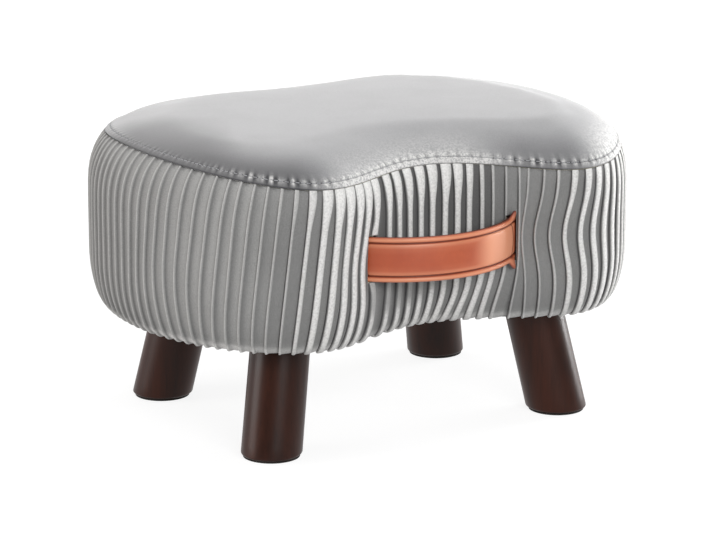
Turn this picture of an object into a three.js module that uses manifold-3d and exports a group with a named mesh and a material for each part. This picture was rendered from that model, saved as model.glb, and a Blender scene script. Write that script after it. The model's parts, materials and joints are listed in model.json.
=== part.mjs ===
// Footstool with a bean-shaped seat, a knife-pleated side, a carry strap and four splayed legs.
// Millimetres, +Z up. The waist and its strap face -Y, and the seat's length runs along X.
import * as THREE from 'three';
import { mergeVertices } from 'three/addons/utils/BufferGeometryUtils.js';
import Module from 'manifold-3d';

const wasm = await Module();
wasm.setup();

// Outline of the upholstered body, seen from above
const HALF_LENGTH = 204.5;
const HALF_DEPTH = 194;
const OUTLINE_EXPONENT = 2.1;
const FRONT_WAIST = { depth: 77, spread: 90.5 };
const REAR_WAIST = { depth: 41.7, spread: 113 };
const WAIST_FADE_SHARE = 0.5;

// Side profile, from the rounded hem up over the shoulder to the crown
const HEM_HEIGHT = 86;
const HEM_ROUND = { inset: 14.8, height: 44.6 };
const SHOULDER_DROP = 11.3;
const CROWN_RISE = 60.5;
const CROWN_INSET = 69.5;
const CROWN_EXPONENT = 3;
const CROWN_EDGE_SHARE = 0.904;
const SEAM_ANGLE = 0.7;
const SEAM_TILT_ANGLE = 0.15;
const SEAM_DIP_ANGLE = 0.43;

// Cloth
const PLEAT_COUNT = 112;
const PLEAT_DEPTH = 2.6;
const PLEAT_LAY_INSET = 8;
const PLEAT_LIP_SHARE = 0.14;
const PLEAT_PHASE_SHARE = 0.2;
const PLEAT_LEAN_PER_HEIGHT = 0.11;
const LEAN_PLEATS = 24;
const CLOTH_THICKNESS = 1.6;
const STAPLE_MARGIN = 19;
const SEAM_GAP = 0.7;
const FIT_GAP = 0.3;
const PLEATS_PER_COLUMN = 2;
const COLUMN_COUNT = PLEAT_COUNT / PLEATS_PER_COLUMN;

// Rows of the side skin from seam to hem, with the share of the pleat depth that each one has
const SHOULDER_ROW_SHARE = 0.45;
const WALL_FOOT_ANGLE = 0.28;
const HEM_CORNER_ANGLE = 0.85;
const PLEAT_ROW_SHARES = [0.4, 0.9, 1, 1, 1, 0.45];
const CROWN_ROW_SHARES = [0, 0.15, 0.35, 0.6, 1];
const CROWN_LINING_SHARES = [0, 0.35, 1];

// Frame of boards, posts and a thin wall
const WALL_INSET = 18.7;
const WALL_THICKNESS = 3;
const BOARD_THICKNESS = 12;
const SEAT_BOARD_TOP = 180;
const POST_SIDE = 30;
const CORNER_POST = { y: 40, wallGap: 19.2 };
const REAR_POST = { legShare: 0.467, wallGap: 23 };
const DUST_COVER = { thickness: 1, overlap: 9 };

// Legs, their bolts and the pads under them
const LEG_FOOT_INSET = { x: 81.2, y: 103.1 };
const LEG_SPLAY_PER_HEIGHT = { x: 0.183, y: 0.156 };
const LEG_DIAMETER = { top: 44, foot: 45 };
const LEG_EDGE_ROUND = 1;
const LEG_SIDES = 32;
const LEG_HOLE_MARGIN = 1.2;
const PAD = { diameter: 42, thickness: 1.6 };
const BOLT = { diameter: 8, grip: 34, above: 8 };
const TEE_NUT = { flange: 22, flangeThickness: 1.5, barrel: 11, barrelLength: 9 };

// Wood screws of the frame
const SCREW = { diameter: 4, head: 8, headHeight: 2.6, length: 25, point: 4 };
const SCREW_SINK = 0.2;

// Carry strap and what holds its ends
const STRAP = {
  width: 33, outerRadius: 90, reach: 44, leftShift: 8, sunk: 9.8, boardGap: 1, tailOver: 4,
};
const STRAP_FACE = { edge: 2.8, groove: 1.5, dome: 2.6, lip: 4, grooveWidth: 1 };
const STRAP_BACKING_THICKNESS = 1.6;
const STRAP_STEPS = 26;
const SLIT = { clearance: 0.8, leadShare: 1.45 };
const BLOCK = { wallGap: 1, length: 20, thickness: 18, screwOffset: 5 };
const CLAMP = { length: 12, thickness: 1.5, screwSpacing: 20 };
const CLAMP_SCREW = { diameter: 3.2, head: 7, headHeight: 2.2, length: 20 };

const ROUND_SIDES = 12;
const SCREW_SIDES = 8;
const CUT_OVERRUN = 5;
const OUTLINE_SAMPLES = 2880;
const WALL_SAMPLES = 16;
const START_ANGLE = Math.PI;
const ANGLE_STEP = 1e-4;

const finish = (color, roughness, metalness) => () => (
  new THREE.MeshStandardMaterial({ color, roughness, metalness }));
const velvet = finish(0xb4b5b9, 0.85, 0);
const pleatedVelvet = finish(0xa3a4a6, 0.85, 0);
const foam = finish(0xe8e2c8, 0.9, 0);
const plywood = finish(0xc9a473, 0.7, 0);
const hardboard = finish(0x7c5a3a, 0.75, 0);
const nonWoven = finish(0x1d1d1f, 0.95, 0);
const stainedWood = finish(0x2e1c18, 0.35, 0);
const felt = finish(0x17120f, 0.95, 0);
const leather = finish(0xb8562f, 0.45, 0);
const webbing = finish(0x5d2f1e, 0.8, 0);
const zincSteel = finish(0xb9bcc0, 0.35, 0.9);

const lerp = THREE.MathUtils.lerp;
const signedPower = (value, power) => Math.sign(value) * Math.abs(value) ** power;

// Outline

function outlinePoint(angle) {
  const power = 2 / OUTLINE_EXPONENT;
  const x = HALF_LENGTH * signedPower(Math.cos(angle), power);
  const y = HALF_DEPTH * signedPower(Math.sin(angle), power);
  const waist = y < 0 ? FRONT_WAIST : REAR_WAIST;
  const fade = Math.min(1, Math.abs(y) / (WAIST_FADE_SHARE * HALF_DEPTH));
  const dent = waist.depth * Math.exp(-((x / waist.spread) ** 2)) * fade;
  return new THREE.Vector2(x, y - Math.sign(y) * dent);
}

// A place on the outline with its outward normal
function outlineFrame(angle) {
  const along = outlinePoint(angle + ANGLE_STEP).sub(outlinePoint(angle - ANGLE_STEP)).normalize();
  return { point: outlinePoint(angle), normal: new THREE.Vector2(along.y, -along.x) };
}

const insetPoint = (frame, inset) => frame.point.clone().addScaledVector(frame.normal, -inset);

const angleShare = (value, half) => (value / half) ** (OUTLINE_EXPONENT / 2);
const endAt = (y) => outlinePoint(Math.asin(angleShare(y, HALF_DEPTH))).x;
const rearAt = (x) => outlinePoint(Math.acos(angleShare(x, HALF_LENGTH))).y;
const frontAt = (x) => outlinePoint(-Math.acos(angleShare(Math.abs(x), HALF_LENGTH))).y;

// Pleats are spaced evenly on the padding under them, so they close up in the waist.
const layTable = (() => {
  const angles = [START_ANGLE];
  const lengths = [0];
  let last = insetPoint(outlineFrame(START_ANGLE), PLEAT_LAY_INSET);
  for (let i = 1; i <= OUTLINE_SAMPLES; i += 1) {
    const angle = START_ANGLE + (2 * Math.PI * i) / OUTLINE_SAMPLES;
    const next = insetPoint(outlineFrame(angle), PLEAT_LAY_INSET);
    angles.push(angle);
    lengths.push(lengths[i - 1] + next.distanceTo(last));
    last = next;
  }
  return { angles, lengths };
})();
const PLEAT_PITCH = layTable.lengths[OUTLINE_SAMPLES] / PLEAT_COUNT;

// The outline frame at a place counted in pleats from near the left end, through the front
function pleatFrame(place) {
  const turned = place + PLEAT_PHASE_SHARE;
  const wrapped = ((turned % PLEAT_COUNT) + PLEAT_COUNT) % PLEAT_COUNT;
  const target = wrapped * PLEAT_PITCH;
  let low = 0;
  let high = OUTLINE_SAMPLES;
  while (high - low > 1) {
    const middle = (low + high) >> 1;
    if (layTable.lengths[middle] <= target) low = middle;
    else high = middle;
  }
  const share = (target - layTable.lengths[low]) / (layTable.lengths[high] - layTable.lengths[low]);
  return outlineFrame(lerp(layTable.angles[low], layTable.angles[high], share));
}

const columnPlaces = Array.from({ length: COLUMN_COUNT }, (_, i) => i * PLEATS_PER_COLUMN);
const columnFrames = columnPlaces.map(pleatFrame);
const ringPoints = (inset) => columnFrames.map((frame) => insetPoint(frame, inset));

// Profile

const SHOULDER_HEIGHT = SEAT_BOARD_TOP - SHOULDER_DROP;
const CROWN_EDGE_ANGLE = CROWN_EDGE_SHARE * (Math.PI / 2);
const crownPower = 2 / CROWN_EXPONENT;

// A profile place: its inset from the outline, its height and its normal as outward and up parts
function hemProfile(angle) {
  const normal = new THREE.Vector2(
    Math.cos(angle) / HEM_ROUND.inset, -Math.sin(angle) / HEM_ROUND.height).normalize();
  return {
    inset: HEM_ROUND.inset * (1 - Math.cos(angle)),
    height: HEM_HEIGHT + HEM_ROUND.height * (1 - Math.sin(angle)),
    normal,
  };
}

function crownProfile(angle) {
  const normal = new THREE.Vector2(
    Math.cos(angle) ** (2 - crownPower) / CROWN_INSET,
    Math.sin(angle) ** (2 - crownPower) / CROWN_RISE).normalize();
  return {
    inset: CROWN_INSET * (1 - Math.cos(angle) ** crownPower),
    height: SHOULDER_HEIGHT + CROWN_RISE * Math.sin(angle) ** crownPower,
    normal,
  };
}

const SPLIT_HEIGHT = SEAT_BOARD_TOP + FIT_GAP / 2;
const SPLIT_ANGLE = Math.asin(((SPLIT_HEIGHT - SHOULDER_HEIGHT) / CROWN_RISE) ** (1 / crownPower));

function seamAngle(frame) {
  const tilt = SEAM_TILT_ANGLE * (frame.point.x / HALF_LENGTH);
  const dip = SEAM_DIP_ANGLE * (frame.point.y / HALF_DEPTH) ** 2;
  return SEAM_ANGLE - tilt - dip;
}

// The rows of the side skin, from the seam down to the hem
const sideRows = [
  (frame) => crownProfile(seamAngle(frame)),
  (frame) => crownProfile(lerp(SPLIT_ANGLE, seamAngle(frame), SHOULDER_ROW_SHARE)),
  () => crownProfile(SPLIT_ANGLE),
  () => hemProfile(WALL_FOOT_ANGLE),
  () => hemProfile(HEM_CORNER_ANGLE),
  () => hemProfile(Math.PI / 2),
];
const SPLIT_ROW = 2;
const HEM_ROW = sideRows.length - 1;
const pleatDepthAt = (row) => PLEAT_DEPTH * PLEAT_ROW_SHARES[row];
const skinDepthAt = (row) => pleatDepthAt(row) + CLOTH_THICKNESS;

// A point of the body's surface, moved inwards by a depth along the surface's own normal
function skinPoint(frame, profile, depth) {
  const plan = insetPoint(frame, profile.inset + depth * profile.normal.x);
  return new THREE.Vector3(plan.x, plan.y, profile.height - depth * profile.normal.y);
}

// Meshes from rows of points

class Surface {
  constructor() {
    this.positions = [];
    this.indices = [];
  }

  // A lining row faces inwards, and its strip is split along the same diagonals as what lies in it.
  addRow(points, places, lining = false) {
    const start = this.positions.length / 3;
    points.forEach((point) => this.positions.push(point.x, point.y, point.z));
    return { start, places, lining, count: points.length };
  }

  // Joins two rows whose points need not match, walking both by their places
  join(upper, lower, closed) {
    const span = PLEAT_COUNT;
    const placeOf = (row, i) => (i < row.count ? row.places[i] : row.places[0] + span);
    const last = (row) => (closed ? row.count : row.count - 1);
    const vertex = (row, i) => row.start + (i % row.count);
    const lowerFirst = upper.lining && lower.lining;
    let a = 0;
    let b = 0;
    while (a < last(upper) || b < last(lower)) {
      const lead = placeOf(lower, b + 1) - placeOf(upper, a + 1);
      const upperIsNext = lowerFirst ? lead > 0 : lead >= 0;
      if (b >= last(lower) || (a < last(upper) && upperIsNext)) {
        this.indices.push(vertex(upper, a), vertex(lower, b), vertex(upper, a + 1));
        a += 1;
      } else {
        this.indices.push(vertex(upper, a), vertex(lower, b), vertex(lower, b + 1));
        b += 1;
      }
    }
  }

  // Fills a closed loop of vertices, given with its flat picture
  fill(vertices, flat, reversed) {
    THREE.ShapeUtils.triangulateShape(flat, []).forEach(([a, b, c]) => {
      const face = reversed ? [c, b, a] : [a, b, c];
      this.indices.push(...face.map((i) => vertices[i]));
    });
  }

  geometry() {
    const geometry = new THREE.BufferGeometry();
    geometry.setAttribute('position', new THREE.Float32BufferAttribute(this.positions, 3));
    geometry.setIndex(this.indices);
    geometry.computeVertexNormals();
    return geometry;
  }
}

const rowVertices = (row) => Array.from({ length: row.count }, (_, i) => row.start + i);
const flatPoints = (points) => points.map((point) => new THREE.Vector2(point.x, point.y));

// A closed ring of skin from a loop of rows
function ringGeometry(rows) {
  const surface = new Surface();
  const placed = rows.map((points) => surface.addRow(points, columnPlaces));
  placed.forEach((row, i) => surface.join(row, placed[(i + 1) % placed.length], true));
  return surface.geometry();
}

// Solids for cutting

function toSolid(geometry) {
  const bare = geometry.clone();
  bare.deleteAttribute('normal');
  bare.deleteAttribute('uv');
  const welded = mergeVertices(bare);
  return new wasm.Manifold(new wasm.Mesh({
    numProp: 3,
    vertProperties: new Float32Array(welded.attributes.position.array),
    triVerts: new Uint32Array(welded.index.array),
  }));
}

function toGeometry(solid) {
  const mesh = solid.getMesh();
  const geometry = new THREE.BufferGeometry();
  geometry.setAttribute('position', new THREE.BufferAttribute(mesh.vertProperties, 3));
  geometry.setIndex(new THREE.BufferAttribute(mesh.triVerts, 1));
  geometry.computeVertexNormals();
  return geometry;
}

const cut = (geometry, tools) => (
  toGeometry(tools.reduce((solid, tool) => solid.subtract(toSolid(tool)), toSolid(geometry))));

// A round rod along Z whose lower end is at a height
function rod(diameter, length, low, sides = ROUND_SIDES) {
  const geometry = new THREE.CylinderGeometry(diameter / 2, diameter / 2, length, sides);
  geometry.rotateX(Math.PI / 2);
  return geometry.translate(0, 0, low + length / 2);
}

// A turned piece about Z from radius and height pairs that start and end on the axis, or close
function turned(profile, sides = ROUND_SIDES) {
  const points = profile.map(([radius, height]) => new THREE.Vector2(radius, height));
  return new THREE.LatheGeometry(points, sides).rotateX(Math.PI / 2);
}

// A sheet cut to a ring of points, with holes, from one height to another
function sheet(outer, holes, low, high) {
  const shape = new THREE.Shape(outer);
  shape.holes = holes.map((points) => new THREE.Path(points));
  const geometry = new THREE.ExtrudeGeometry(shape, { depth: high - low, bevelEnabled: false });
  return geometry.translate(0, 0, low);
}

const stool = new THREE.Group();

function addMesh(parent, name, geometry, material) {
  const mesh = new THREE.Mesh(geometry, material());
  mesh.name = name;
  parent.add(mesh);
  return mesh;
}

const corners = [
  { name: 'front_left', x: -1, y: -1 },
  { name: 'front_right', x: 1, y: -1 },
  { name: 'rear_left', x: -1, y: 1 },
  { name: 'rear_right', x: 1, y: 1 },
];

// Heights that the frame's pieces share
const BASE_BOARD_BOTTOM = HEM_HEIGHT + skinDepthAt(HEM_ROW) + FIT_GAP;
const BASE_BOARD_TOP = BASE_BOARD_BOTTOM + BOARD_THICKNESS;
const SEAT_BOARD_BOTTOM = SEAT_BOARD_TOP - BOARD_THICKNESS;
const BOARD_INSET = WALL_INSET + WALL_THICKNESS + FIT_GAP;
const LEG_TOP = BASE_BOARD_BOTTOM - FIT_GAP;
const LEG_BOTTOM = PAD.thickness + FIT_GAP;

// The strap passes under the seat board, near it.
const STRAP_HEIGHT = SEAT_BOARD_BOTTOM - STRAP.boardGap - STRAP.width / 2;

// Strap path

const waistFront = outlinePoint(1.5 * Math.PI).y;
const strapDepth = Math.max(STRAP_FACE.edge, STRAP_FACE.dome);
const strapRadius = STRAP.outerRadius - strapDepth;
const strapCentre = new THREE.Vector2(
  -STRAP.leftShift, waistFront - STRAP.reach + STRAP.outerRadius);
const bowPoint = (side, angle) => new THREE.Vector3(
  strapCentre.x + side * strapRadius * Math.sin(angle),
  strapCentre.y - strapRadius * Math.cos(angle), STRAP_HEIGHT);

// On each side the bow ends where its line has sunk to a set depth behind the outline's front.
const [leftBowAngle, rightBowAngle] = [-1, 1].map((side) => {
  const sunkAt = (angle) => {
    const point = bowPoint(side, angle);
    return point.y - frontAt(point.x);
  };
  let low = 0;
  let high = Math.PI / 2;
  while (high - low > ANGLE_STEP) {
    const middle = (low + high) / 2;
    if (sunkAt(middle) < STRAP.sunk) low = middle;
    else high = middle;
  }
  return high;
});
const bowAngle = (side) => (side < 0 ? leftBowAngle : rightBowAngle);

// Where the bow ends on one side: local X runs inwards along the tail, local Y to the left of it
function anchorMatrix(side) {
  const angle = bowAngle(side);
  return new THREE.Matrix4()
    .makeRotationZ(side > 0 ? angle : Math.PI - angle)
    .setPosition(bowPoint(side, angle));
}

// A handle block stands behind its tail, and starts just inside the wall's bulge on that side.
const blockInward = FIT_GAP + STRAP_BACKING_THICKNESS + FIT_GAP + BLOCK.thickness / 2;
function wallPlaceAlong(side) {
  const toAnchor = anchorMatrix(side).invert();
  const ring = ringPoints(WALL_INSET + WALL_THICKNESS);
  const places = ring.flatMap((point, i) => Array.from({ length: WALL_SAMPLES }, (_, k) => {
    const between = point.clone().lerp(ring[(i + 1) % ring.length], k / WALL_SAMPLES);
    return new THREE.Vector3(between.x, between.y, STRAP_HEIGHT).applyMatrix4(toAnchor);
  }));
  const near = places.filter((place) => (
    place.x < strapRadius && Math.abs(side * place.y - blockInward) < BLOCK.thickness / 2));
  return Math.max(...near.map((place) => place.x));
}
const blockStart = Math.max(...[-1, 1].map(wallPlaceAlong)) + BLOCK.wallGap;
const strapTail = blockStart + BLOCK.length + STRAP.tailOver;

// The line between face and backing: a round bow with straight tails that run into the frame
class StrapPath extends THREE.Curve {
  getPoint(share, target = new THREE.Vector3()) {
    const length = strapRadius * (leftBowAngle + rightBowAngle) + 2 * strapTail;
    const place = share * length - strapTail - strapRadius * leftBowAngle;
    const side = Math.sign(place) || 1;
    const angle = Math.min(Math.abs(place) / strapRadius, bowAngle(side));
    const beyond = Math.abs(place) - strapRadius * angle;
    const ahead = new THREE.Vector3(side * Math.cos(angle), Math.sin(angle), 0);
    return target.copy(bowPoint(side, angle)).addScaledVector(ahead, beyond);
  }
}

const strapPath = new StrapPath();

// A band along the strap path, whose section is given across the width and towards the body
function strapBand(section) {
  const shape = new THREE.Shape(section.map(([across, inward]) => new THREE.Vector2(across, inward)));
  return new THREE.ExtrudeGeometry(shape, { steps: STRAP_STEPS, extrudePath: strapPath });
}

const boxSection = (halfWidth, outer, inner) => (
  [[-halfWidth, outer], [halfWidth, outer], [halfWidth, inner], [-halfWidth, inner]]);

const strapFaceSection = (() => {
  const half = STRAP.width / 2;
  const lip = half - STRAP_FACE.lip;
  const panel = lip - STRAP_FACE.grooveWidth;
  const rightHalf = [
    [half, -STRAP_FACE.edge], [lip, -STRAP_FACE.edge], [lip, -STRAP_FACE.groove],
    [panel, -STRAP_FACE.edge], [panel / 2, -STRAP_FACE.dome],
  ];
  const leftHalf = rightHalf.map(([across, inward]) => [-across, inward]).reverse();
  return [[-half, 0], [half, 0], ...rightHalf, ...leftHalf].reverse();
})();

// The straight slit for one tail. It starts outside the cloth and has room for the bow's last bend.
const slitTools = [-1, 1].map((side) => {
  const lead = SLIT.leadShare * STRAP.sunk;
  const outer = strapDepth + SLIT.clearance;
  const bend = lead ** 2 / (2 * strapRadius);
  const inner = FIT_GAP + STRAP_BACKING_THICKNESS + SLIT.clearance + bend;
  const length = lead + strapTail;
  return new THREE.BoxGeometry(length, outer + inner, STRAP.width + 2 * SLIT.clearance)
    .translate(length / 2 - lead, (side * (inner - outer)) / 2, 0)
    .applyMatrix4(anchorMatrix(side));
});

// Cloth pieces

// One panel of the pleated side, between two places counted in pleats
function pleatedPanel(firstPleat, lastPleat) {
  const endShare = FIT_GAP / (2 * PLEAT_PITCH);
  const count = lastPleat - firstPleat;
  const outerPlaces = [];
  const outerDrops = [];
  for (let i = 0; i < count; i += 1) {
    outerPlaces.push(firstPleat + i, firstPleat + i + 1 - PLEAT_LIP_SHARE);
    outerDrops.push(0, 1);
  }
  outerPlaces.push(lastPleat);
  outerDrops.push(0);
  const innerPlaces = Array.from(
    { length: count / PLEATS_PER_COLUMN + 1 }, (_, i) => firstPleat + i * PLEATS_PER_COLUMN);
  [outerPlaces, innerPlaces].forEach((places) => {
    places[0] += endShare;
    places[places.length - 1] -= endShare;
  });

  const surface = new Surface();
  const upright = [];
  const addRow = (points, places, outline, lining) => {
    upright.push(outline);
    return surface.addRow(points, places, lining);
  };
  const outlineOf = (profile, depth) => new THREE.Vector2(
    profile.inset + depth * profile.normal.x, profile.height - depth * profile.normal.y);
  const firstFrame = pleatFrame(outerPlaces[0]);

  const outerRows = sideRows.map((profileOf, row) => {
    const points = outerPlaces.map((place, i) => {
      const level = profileOf(pleatFrame(place));
      const frame = pleatFrame(place + leanAt(place, level.height));
      return skinPoint(frame, profileOf(frame), outerDrops[i] * pleatDepthAt(row));
    });
    return addRow(points, outerPlaces, outlineOf(profileOf(firstFrame), 0), false);
  });
  const marginInset = HEM_ROUND.inset + STAPLE_MARGIN;
  const marginTop = HEM_HEIGHT + skinDepthAt(HEM_ROW);
  const marginRows = [marginTop - CLOTH_THICKNESS, marginTop].map((height) => {
    const points = innerPlaces.map((place) => {
      const plan = insetPoint(pleatFrame(place), marginInset);
      return new THREE.Vector3(plan.x, plan.y, height);
    });
    return addRow(points, innerPlaces, new THREE.Vector2(marginInset, height), true);
  });
  const innerRows = [...sideRows].reverse().map((profileOf, i) => {
    const depth = skinDepthAt(HEM_ROW - i);
    const points = innerPlaces.map((place) => {
      const frame = pleatFrame(place);
      return skinPoint(frame, profileOf(frame), depth);
    });
    return addRow(points, innerPlaces, outlineOf(profileOf(firstFrame), depth), true);
  });

  const loop = [...outerRows, ...marginRows, ...innerRows];
  loop.forEach((row, i) => surface.join(row, loop[(i + 1) % loop.length], false));
  surface.fill(loop.map((row) => row.start), upright, true);
  surface.fill(loop.map((row) => row.start + row.count - 1), upright, false);
  return surface.geometry();
}

// Pleats on the left of the front lean to the right as they rise. The shift is counted in pleats.
function leanAt(place, height) {
  const share = place > 0 && place < LEAN_PLEATS ? Math.sin((Math.PI * place) / LEAN_PLEATS) : 0;
  const middle = (HEM_HEIGHT + SEAT_BOARD_TOP) / 2;
  return (share * PLEAT_LEAN_PER_HEIGHT * (height - middle)) / PLEAT_PITCH;
}

const crownAngleAt = (frame, share) => {
  const start = seamAngle(frame) + SEAM_GAP / CROWN_INSET;
  return lerp(start, CROWN_EDGE_ANGLE, share);
};

function topCover() {
  const surface = new Surface();
  const outerPlaces = Array.from({ length: PLEAT_COUNT }, (_, i) => i);
  const outerFrames = outerPlaces.map(pleatFrame);
  const rowOf = (frames, share, depth) => frames.map(
    (frame) => skinPoint(frame, crownProfile(crownAngleAt(frame, share)), depth));
  const outer = CROWN_ROW_SHARES.map((share) => rowOf(outerFrames, share, 0));
  const lining = CROWN_LINING_SHARES.map((share) => rowOf(columnFrames, share, CLOTH_THICKNESS));
  const outerRows = outer.map((points) => surface.addRow(points, outerPlaces));
  const liningRows = lining.map((points) => surface.addRow(points, columnPlaces, true));
  const loop = [...outerRows.slice().reverse(), ...liningRows];
  for (let i = 0; i + 1 < loop.length; i += 1) surface.join(loop[i], loop[i + 1], true);
  const crown = outer.at(-1);
  surface.fill(rowVertices(outerRows.at(-1)), flatPoints(crown), false);
  surface.fill(rowVertices(liningRows.at(-1)), flatPoints(lining.at(-1)), true);
  return surface.geometry();
}

function seatFoam() {
  const surface = new Surface();
  const crownDepth = CLOTH_THICKNESS + FIT_GAP;
  const crownRows = CROWN_LINING_SHARES.slice(1).reverse().map((share) => columnFrames.map(
    (frame) => skinPoint(frame, crownProfile(crownAngleAt(frame, share)), crownDepth)));
  const shoulderRows = [0, 1].map((row) => columnFrames.map(
    (frame) => skinPoint(frame, sideRows[row](frame), skinDepthAt(row) + FIT_GAP)));
  const footRow = columnFrames.map((frame) => {
    const point = skinPoint(frame, sideRows[SPLIT_ROW](frame), skinDepthAt(SPLIT_ROW) + FIT_GAP);
    return point.setZ(SEAT_BOARD_TOP + FIT_GAP);
  });
  const rows = [...crownRows, ...shoulderRows, footRow];
  const placed = rows.map((points) => surface.addRow(points, columnPlaces));
  for (let i = 0; i + 1 < placed.length; i += 1) surface.join(placed[i], placed[i + 1], true);
  surface.fill(rowVertices(placed[0]), flatPoints(rows[0]), false);
  surface.fill(rowVertices(placed.at(-1)), flatPoints(footRow), true);
  return surface.geometry();
}

function sidePadding() {
  const outerRows = sideRows.slice(SPLIT_ROW).map((profileOf, i) => columnFrames.map(
    (frame) => skinPoint(frame, profileOf(frame), skinDepthAt(SPLIT_ROW + i) + FIT_GAP)));
  outerRows[0].forEach((point) => point.setZ(SEAT_BOARD_TOP));
  const backInset = WALL_INSET - FIT_GAP;
  const backRows = [BASE_BOARD_BOTTOM, SEAT_BOARD_TOP].map((height) => ringPoints(backInset).map(
    (point) => new THREE.Vector3(point.x, point.y, height)));
  return ringGeometry([...outerRows, ...backRows]);
}

addMesh(stool, 'top_cover', topCover(), velvet);
addMesh(stool, 'pleated_cover_front', cut(
  pleatedPanel(0, PLEAT_COUNT / 2), slitTools), pleatedVelvet);
addMesh(stool, 'pleated_cover_rear', pleatedPanel(PLEAT_COUNT / 2, PLEAT_COUNT), pleatedVelvet);
addMesh(stool, 'seat_foam', seatFoam(), foam);
addMesh(stool, 'side_padding', cut(sidePadding(), slitTools), foam);

// Screws

// The outline of a countersunk screw whose head is level with height zero
const screwProfile = (grow, top) => [
  [0, -SCREW.length - grow],
  [SCREW.diameter / 4 + grow, -SCREW.length - grow],
  [SCREW.diameter / 2 + grow, -SCREW.length + SCREW.point],
  [SCREW.diameter / 2 + grow, -SCREW.headHeight],
  [SCREW.head / 2 + grow, 0],
  ...(top > 0 ? [[SCREW.head / 2 + grow, top]] : []),
  [0, top],
];
const screwGeometry = turned(screwProfile(0, 0), SCREW_SIDES);
const screwTool = turned(screwProfile(FIT_GAP, CUT_OVERRUN), SCREW_SIDES);
const screwTop = SEAT_BOARD_TOP - SCREW_SINK;
const screwFoot = BASE_BOARD_BOTTOM + SCREW_SINK;
const POST_HEIGHT = SEAT_BOARD_BOTTOM - BASE_BOARD_TOP - 2 * FIT_GAP;
const postMiddle = (SEAT_BOARD_BOTTOM + BASE_BOARD_TOP) / 2;

const upperScrewAt = (x, y, tool) => tool.clone().translate(x, y, screwTop);
const lowerScrewAt = (x, y, tool) => tool.clone().rotateX(Math.PI).translate(x, y, screwFoot);

// Frame

// Frame screws and clamp screws pass on either side of a handle block's middle.
const blockMiddle = blockStart + BLOCK.length / 2;
const blockPoint = (side, along) => (
  new THREE.Vector3(along, side * blockInward, 0).applyMatrix4(anchorMatrix(side)));

const legAxisAt = (corner, height) => ({
  x: corner.x * (HALF_LENGTH - LEG_FOOT_INSET.x - LEG_SPLAY_PER_HEIGHT.x * height),
  y: corner.y * (HALF_DEPTH - LEG_FOOT_INSET.y - LEG_SPLAY_PER_HEIGHT.y * height),
});
const boltPlaces = corners.map((corner) => legAxisAt(corner, LEG_TOP));

const sideName = (side) => (side < 0 ? 'left' : 'right');
const postInset = (wallGap) => WALL_INSET + WALL_THICKNESS + wallGap + POST_SIDE / 2;
const cornerPostX = endAt(CORNER_POST.y) - postInset(CORNER_POST.wallGap);
const rearPostX = REAR_POST.legShare * Math.abs(boltPlaces[0].x);
const rearPostY = rearAt(rearPostX) - postInset(REAR_POST.wallGap);
const posts = [
  ...corners.map(({ name, x, y }) => (
    { name: `post_${name}`, x: x * cornerPostX, y: y * CORNER_POST.y })),
  ...[-1, 1].map((side) => (
    { name: `post_rear_inner_${sideName(side)}`, x: side * rearPostX, y: rearPostY })),
];
const blocks = [-1, 1].map((side) => {
  const screw = blockPoint(side, blockMiddle - BLOCK.screwOffset);
  return { name: `handle_block_${sideName(side)}`, side, x: screw.x, y: screw.y };
});
const screwPlaces = [...posts, ...blocks];

const boardRing = ringPoints(BOARD_INSET);
const nutTool = rod(TEE_NUT.barrel + 2 * FIT_GAP, BOARD_THICKNESS + 2 * CUT_OVERRUN, -CUT_OVERRUN);
addMesh(stool, 'seat_board', cut(
  sheet(boardRing, [], SEAT_BOARD_BOTTOM, SEAT_BOARD_TOP),
  screwPlaces.map(({ x, y }) => upperScrewAt(x, y, screwTool))), plywood);
addMesh(stool, 'base_board', cut(
  sheet(boardRing, [], BASE_BOARD_BOTTOM, BASE_BOARD_TOP), [
    ...screwPlaces.map(({ x, y }) => lowerScrewAt(x, y, screwTool)),
    ...boltPlaces.map(({ x, y }) => nutTool.clone().translate(x, y, BASE_BOARD_BOTTOM)),
  ]), plywood);
addMesh(stool, 'side_wall', cut(
  sheet(ringPoints(WALL_INSET), [ringPoints(WALL_INSET + WALL_THICKNESS)],
    BASE_BOARD_BOTTOM, SEAT_BOARD_TOP), slitTools), hardboard);

// A post or block centred on its own middle, with a screw hole in each end
const drilledBar = (length, width, screwPlace, sideTools) => cut(
  new THREE.BoxGeometry(length, width, POST_HEIGHT), [
    screwTool.clone().translate(screwPlace, 0, screwTop - postMiddle),
    screwTool.clone().rotateX(Math.PI).translate(screwPlace, 0, screwFoot - postMiddle),
    ...sideTools,
  ]);
const postGeometry = drilledBar(POST_SIDE, POST_SIDE, 0, []);
posts.forEach(({ name, x, y }) => {
  addMesh(stool, name, postGeometry, plywood).position.set(x, y, postMiddle);
});
screwPlaces.forEach(({ name, x, y }) => {
  addMesh(stool, `upper_screw_${name}`, screwGeometry, zincSteel).position.set(x, y, screwTop);
  const lower = addMesh(stool, `lower_screw_${name}`, screwGeometry, zincSteel);
  lower.position.set(x, y, screwFoot);
  lower.rotation.x = Math.PI;
});

// Handle

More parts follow.
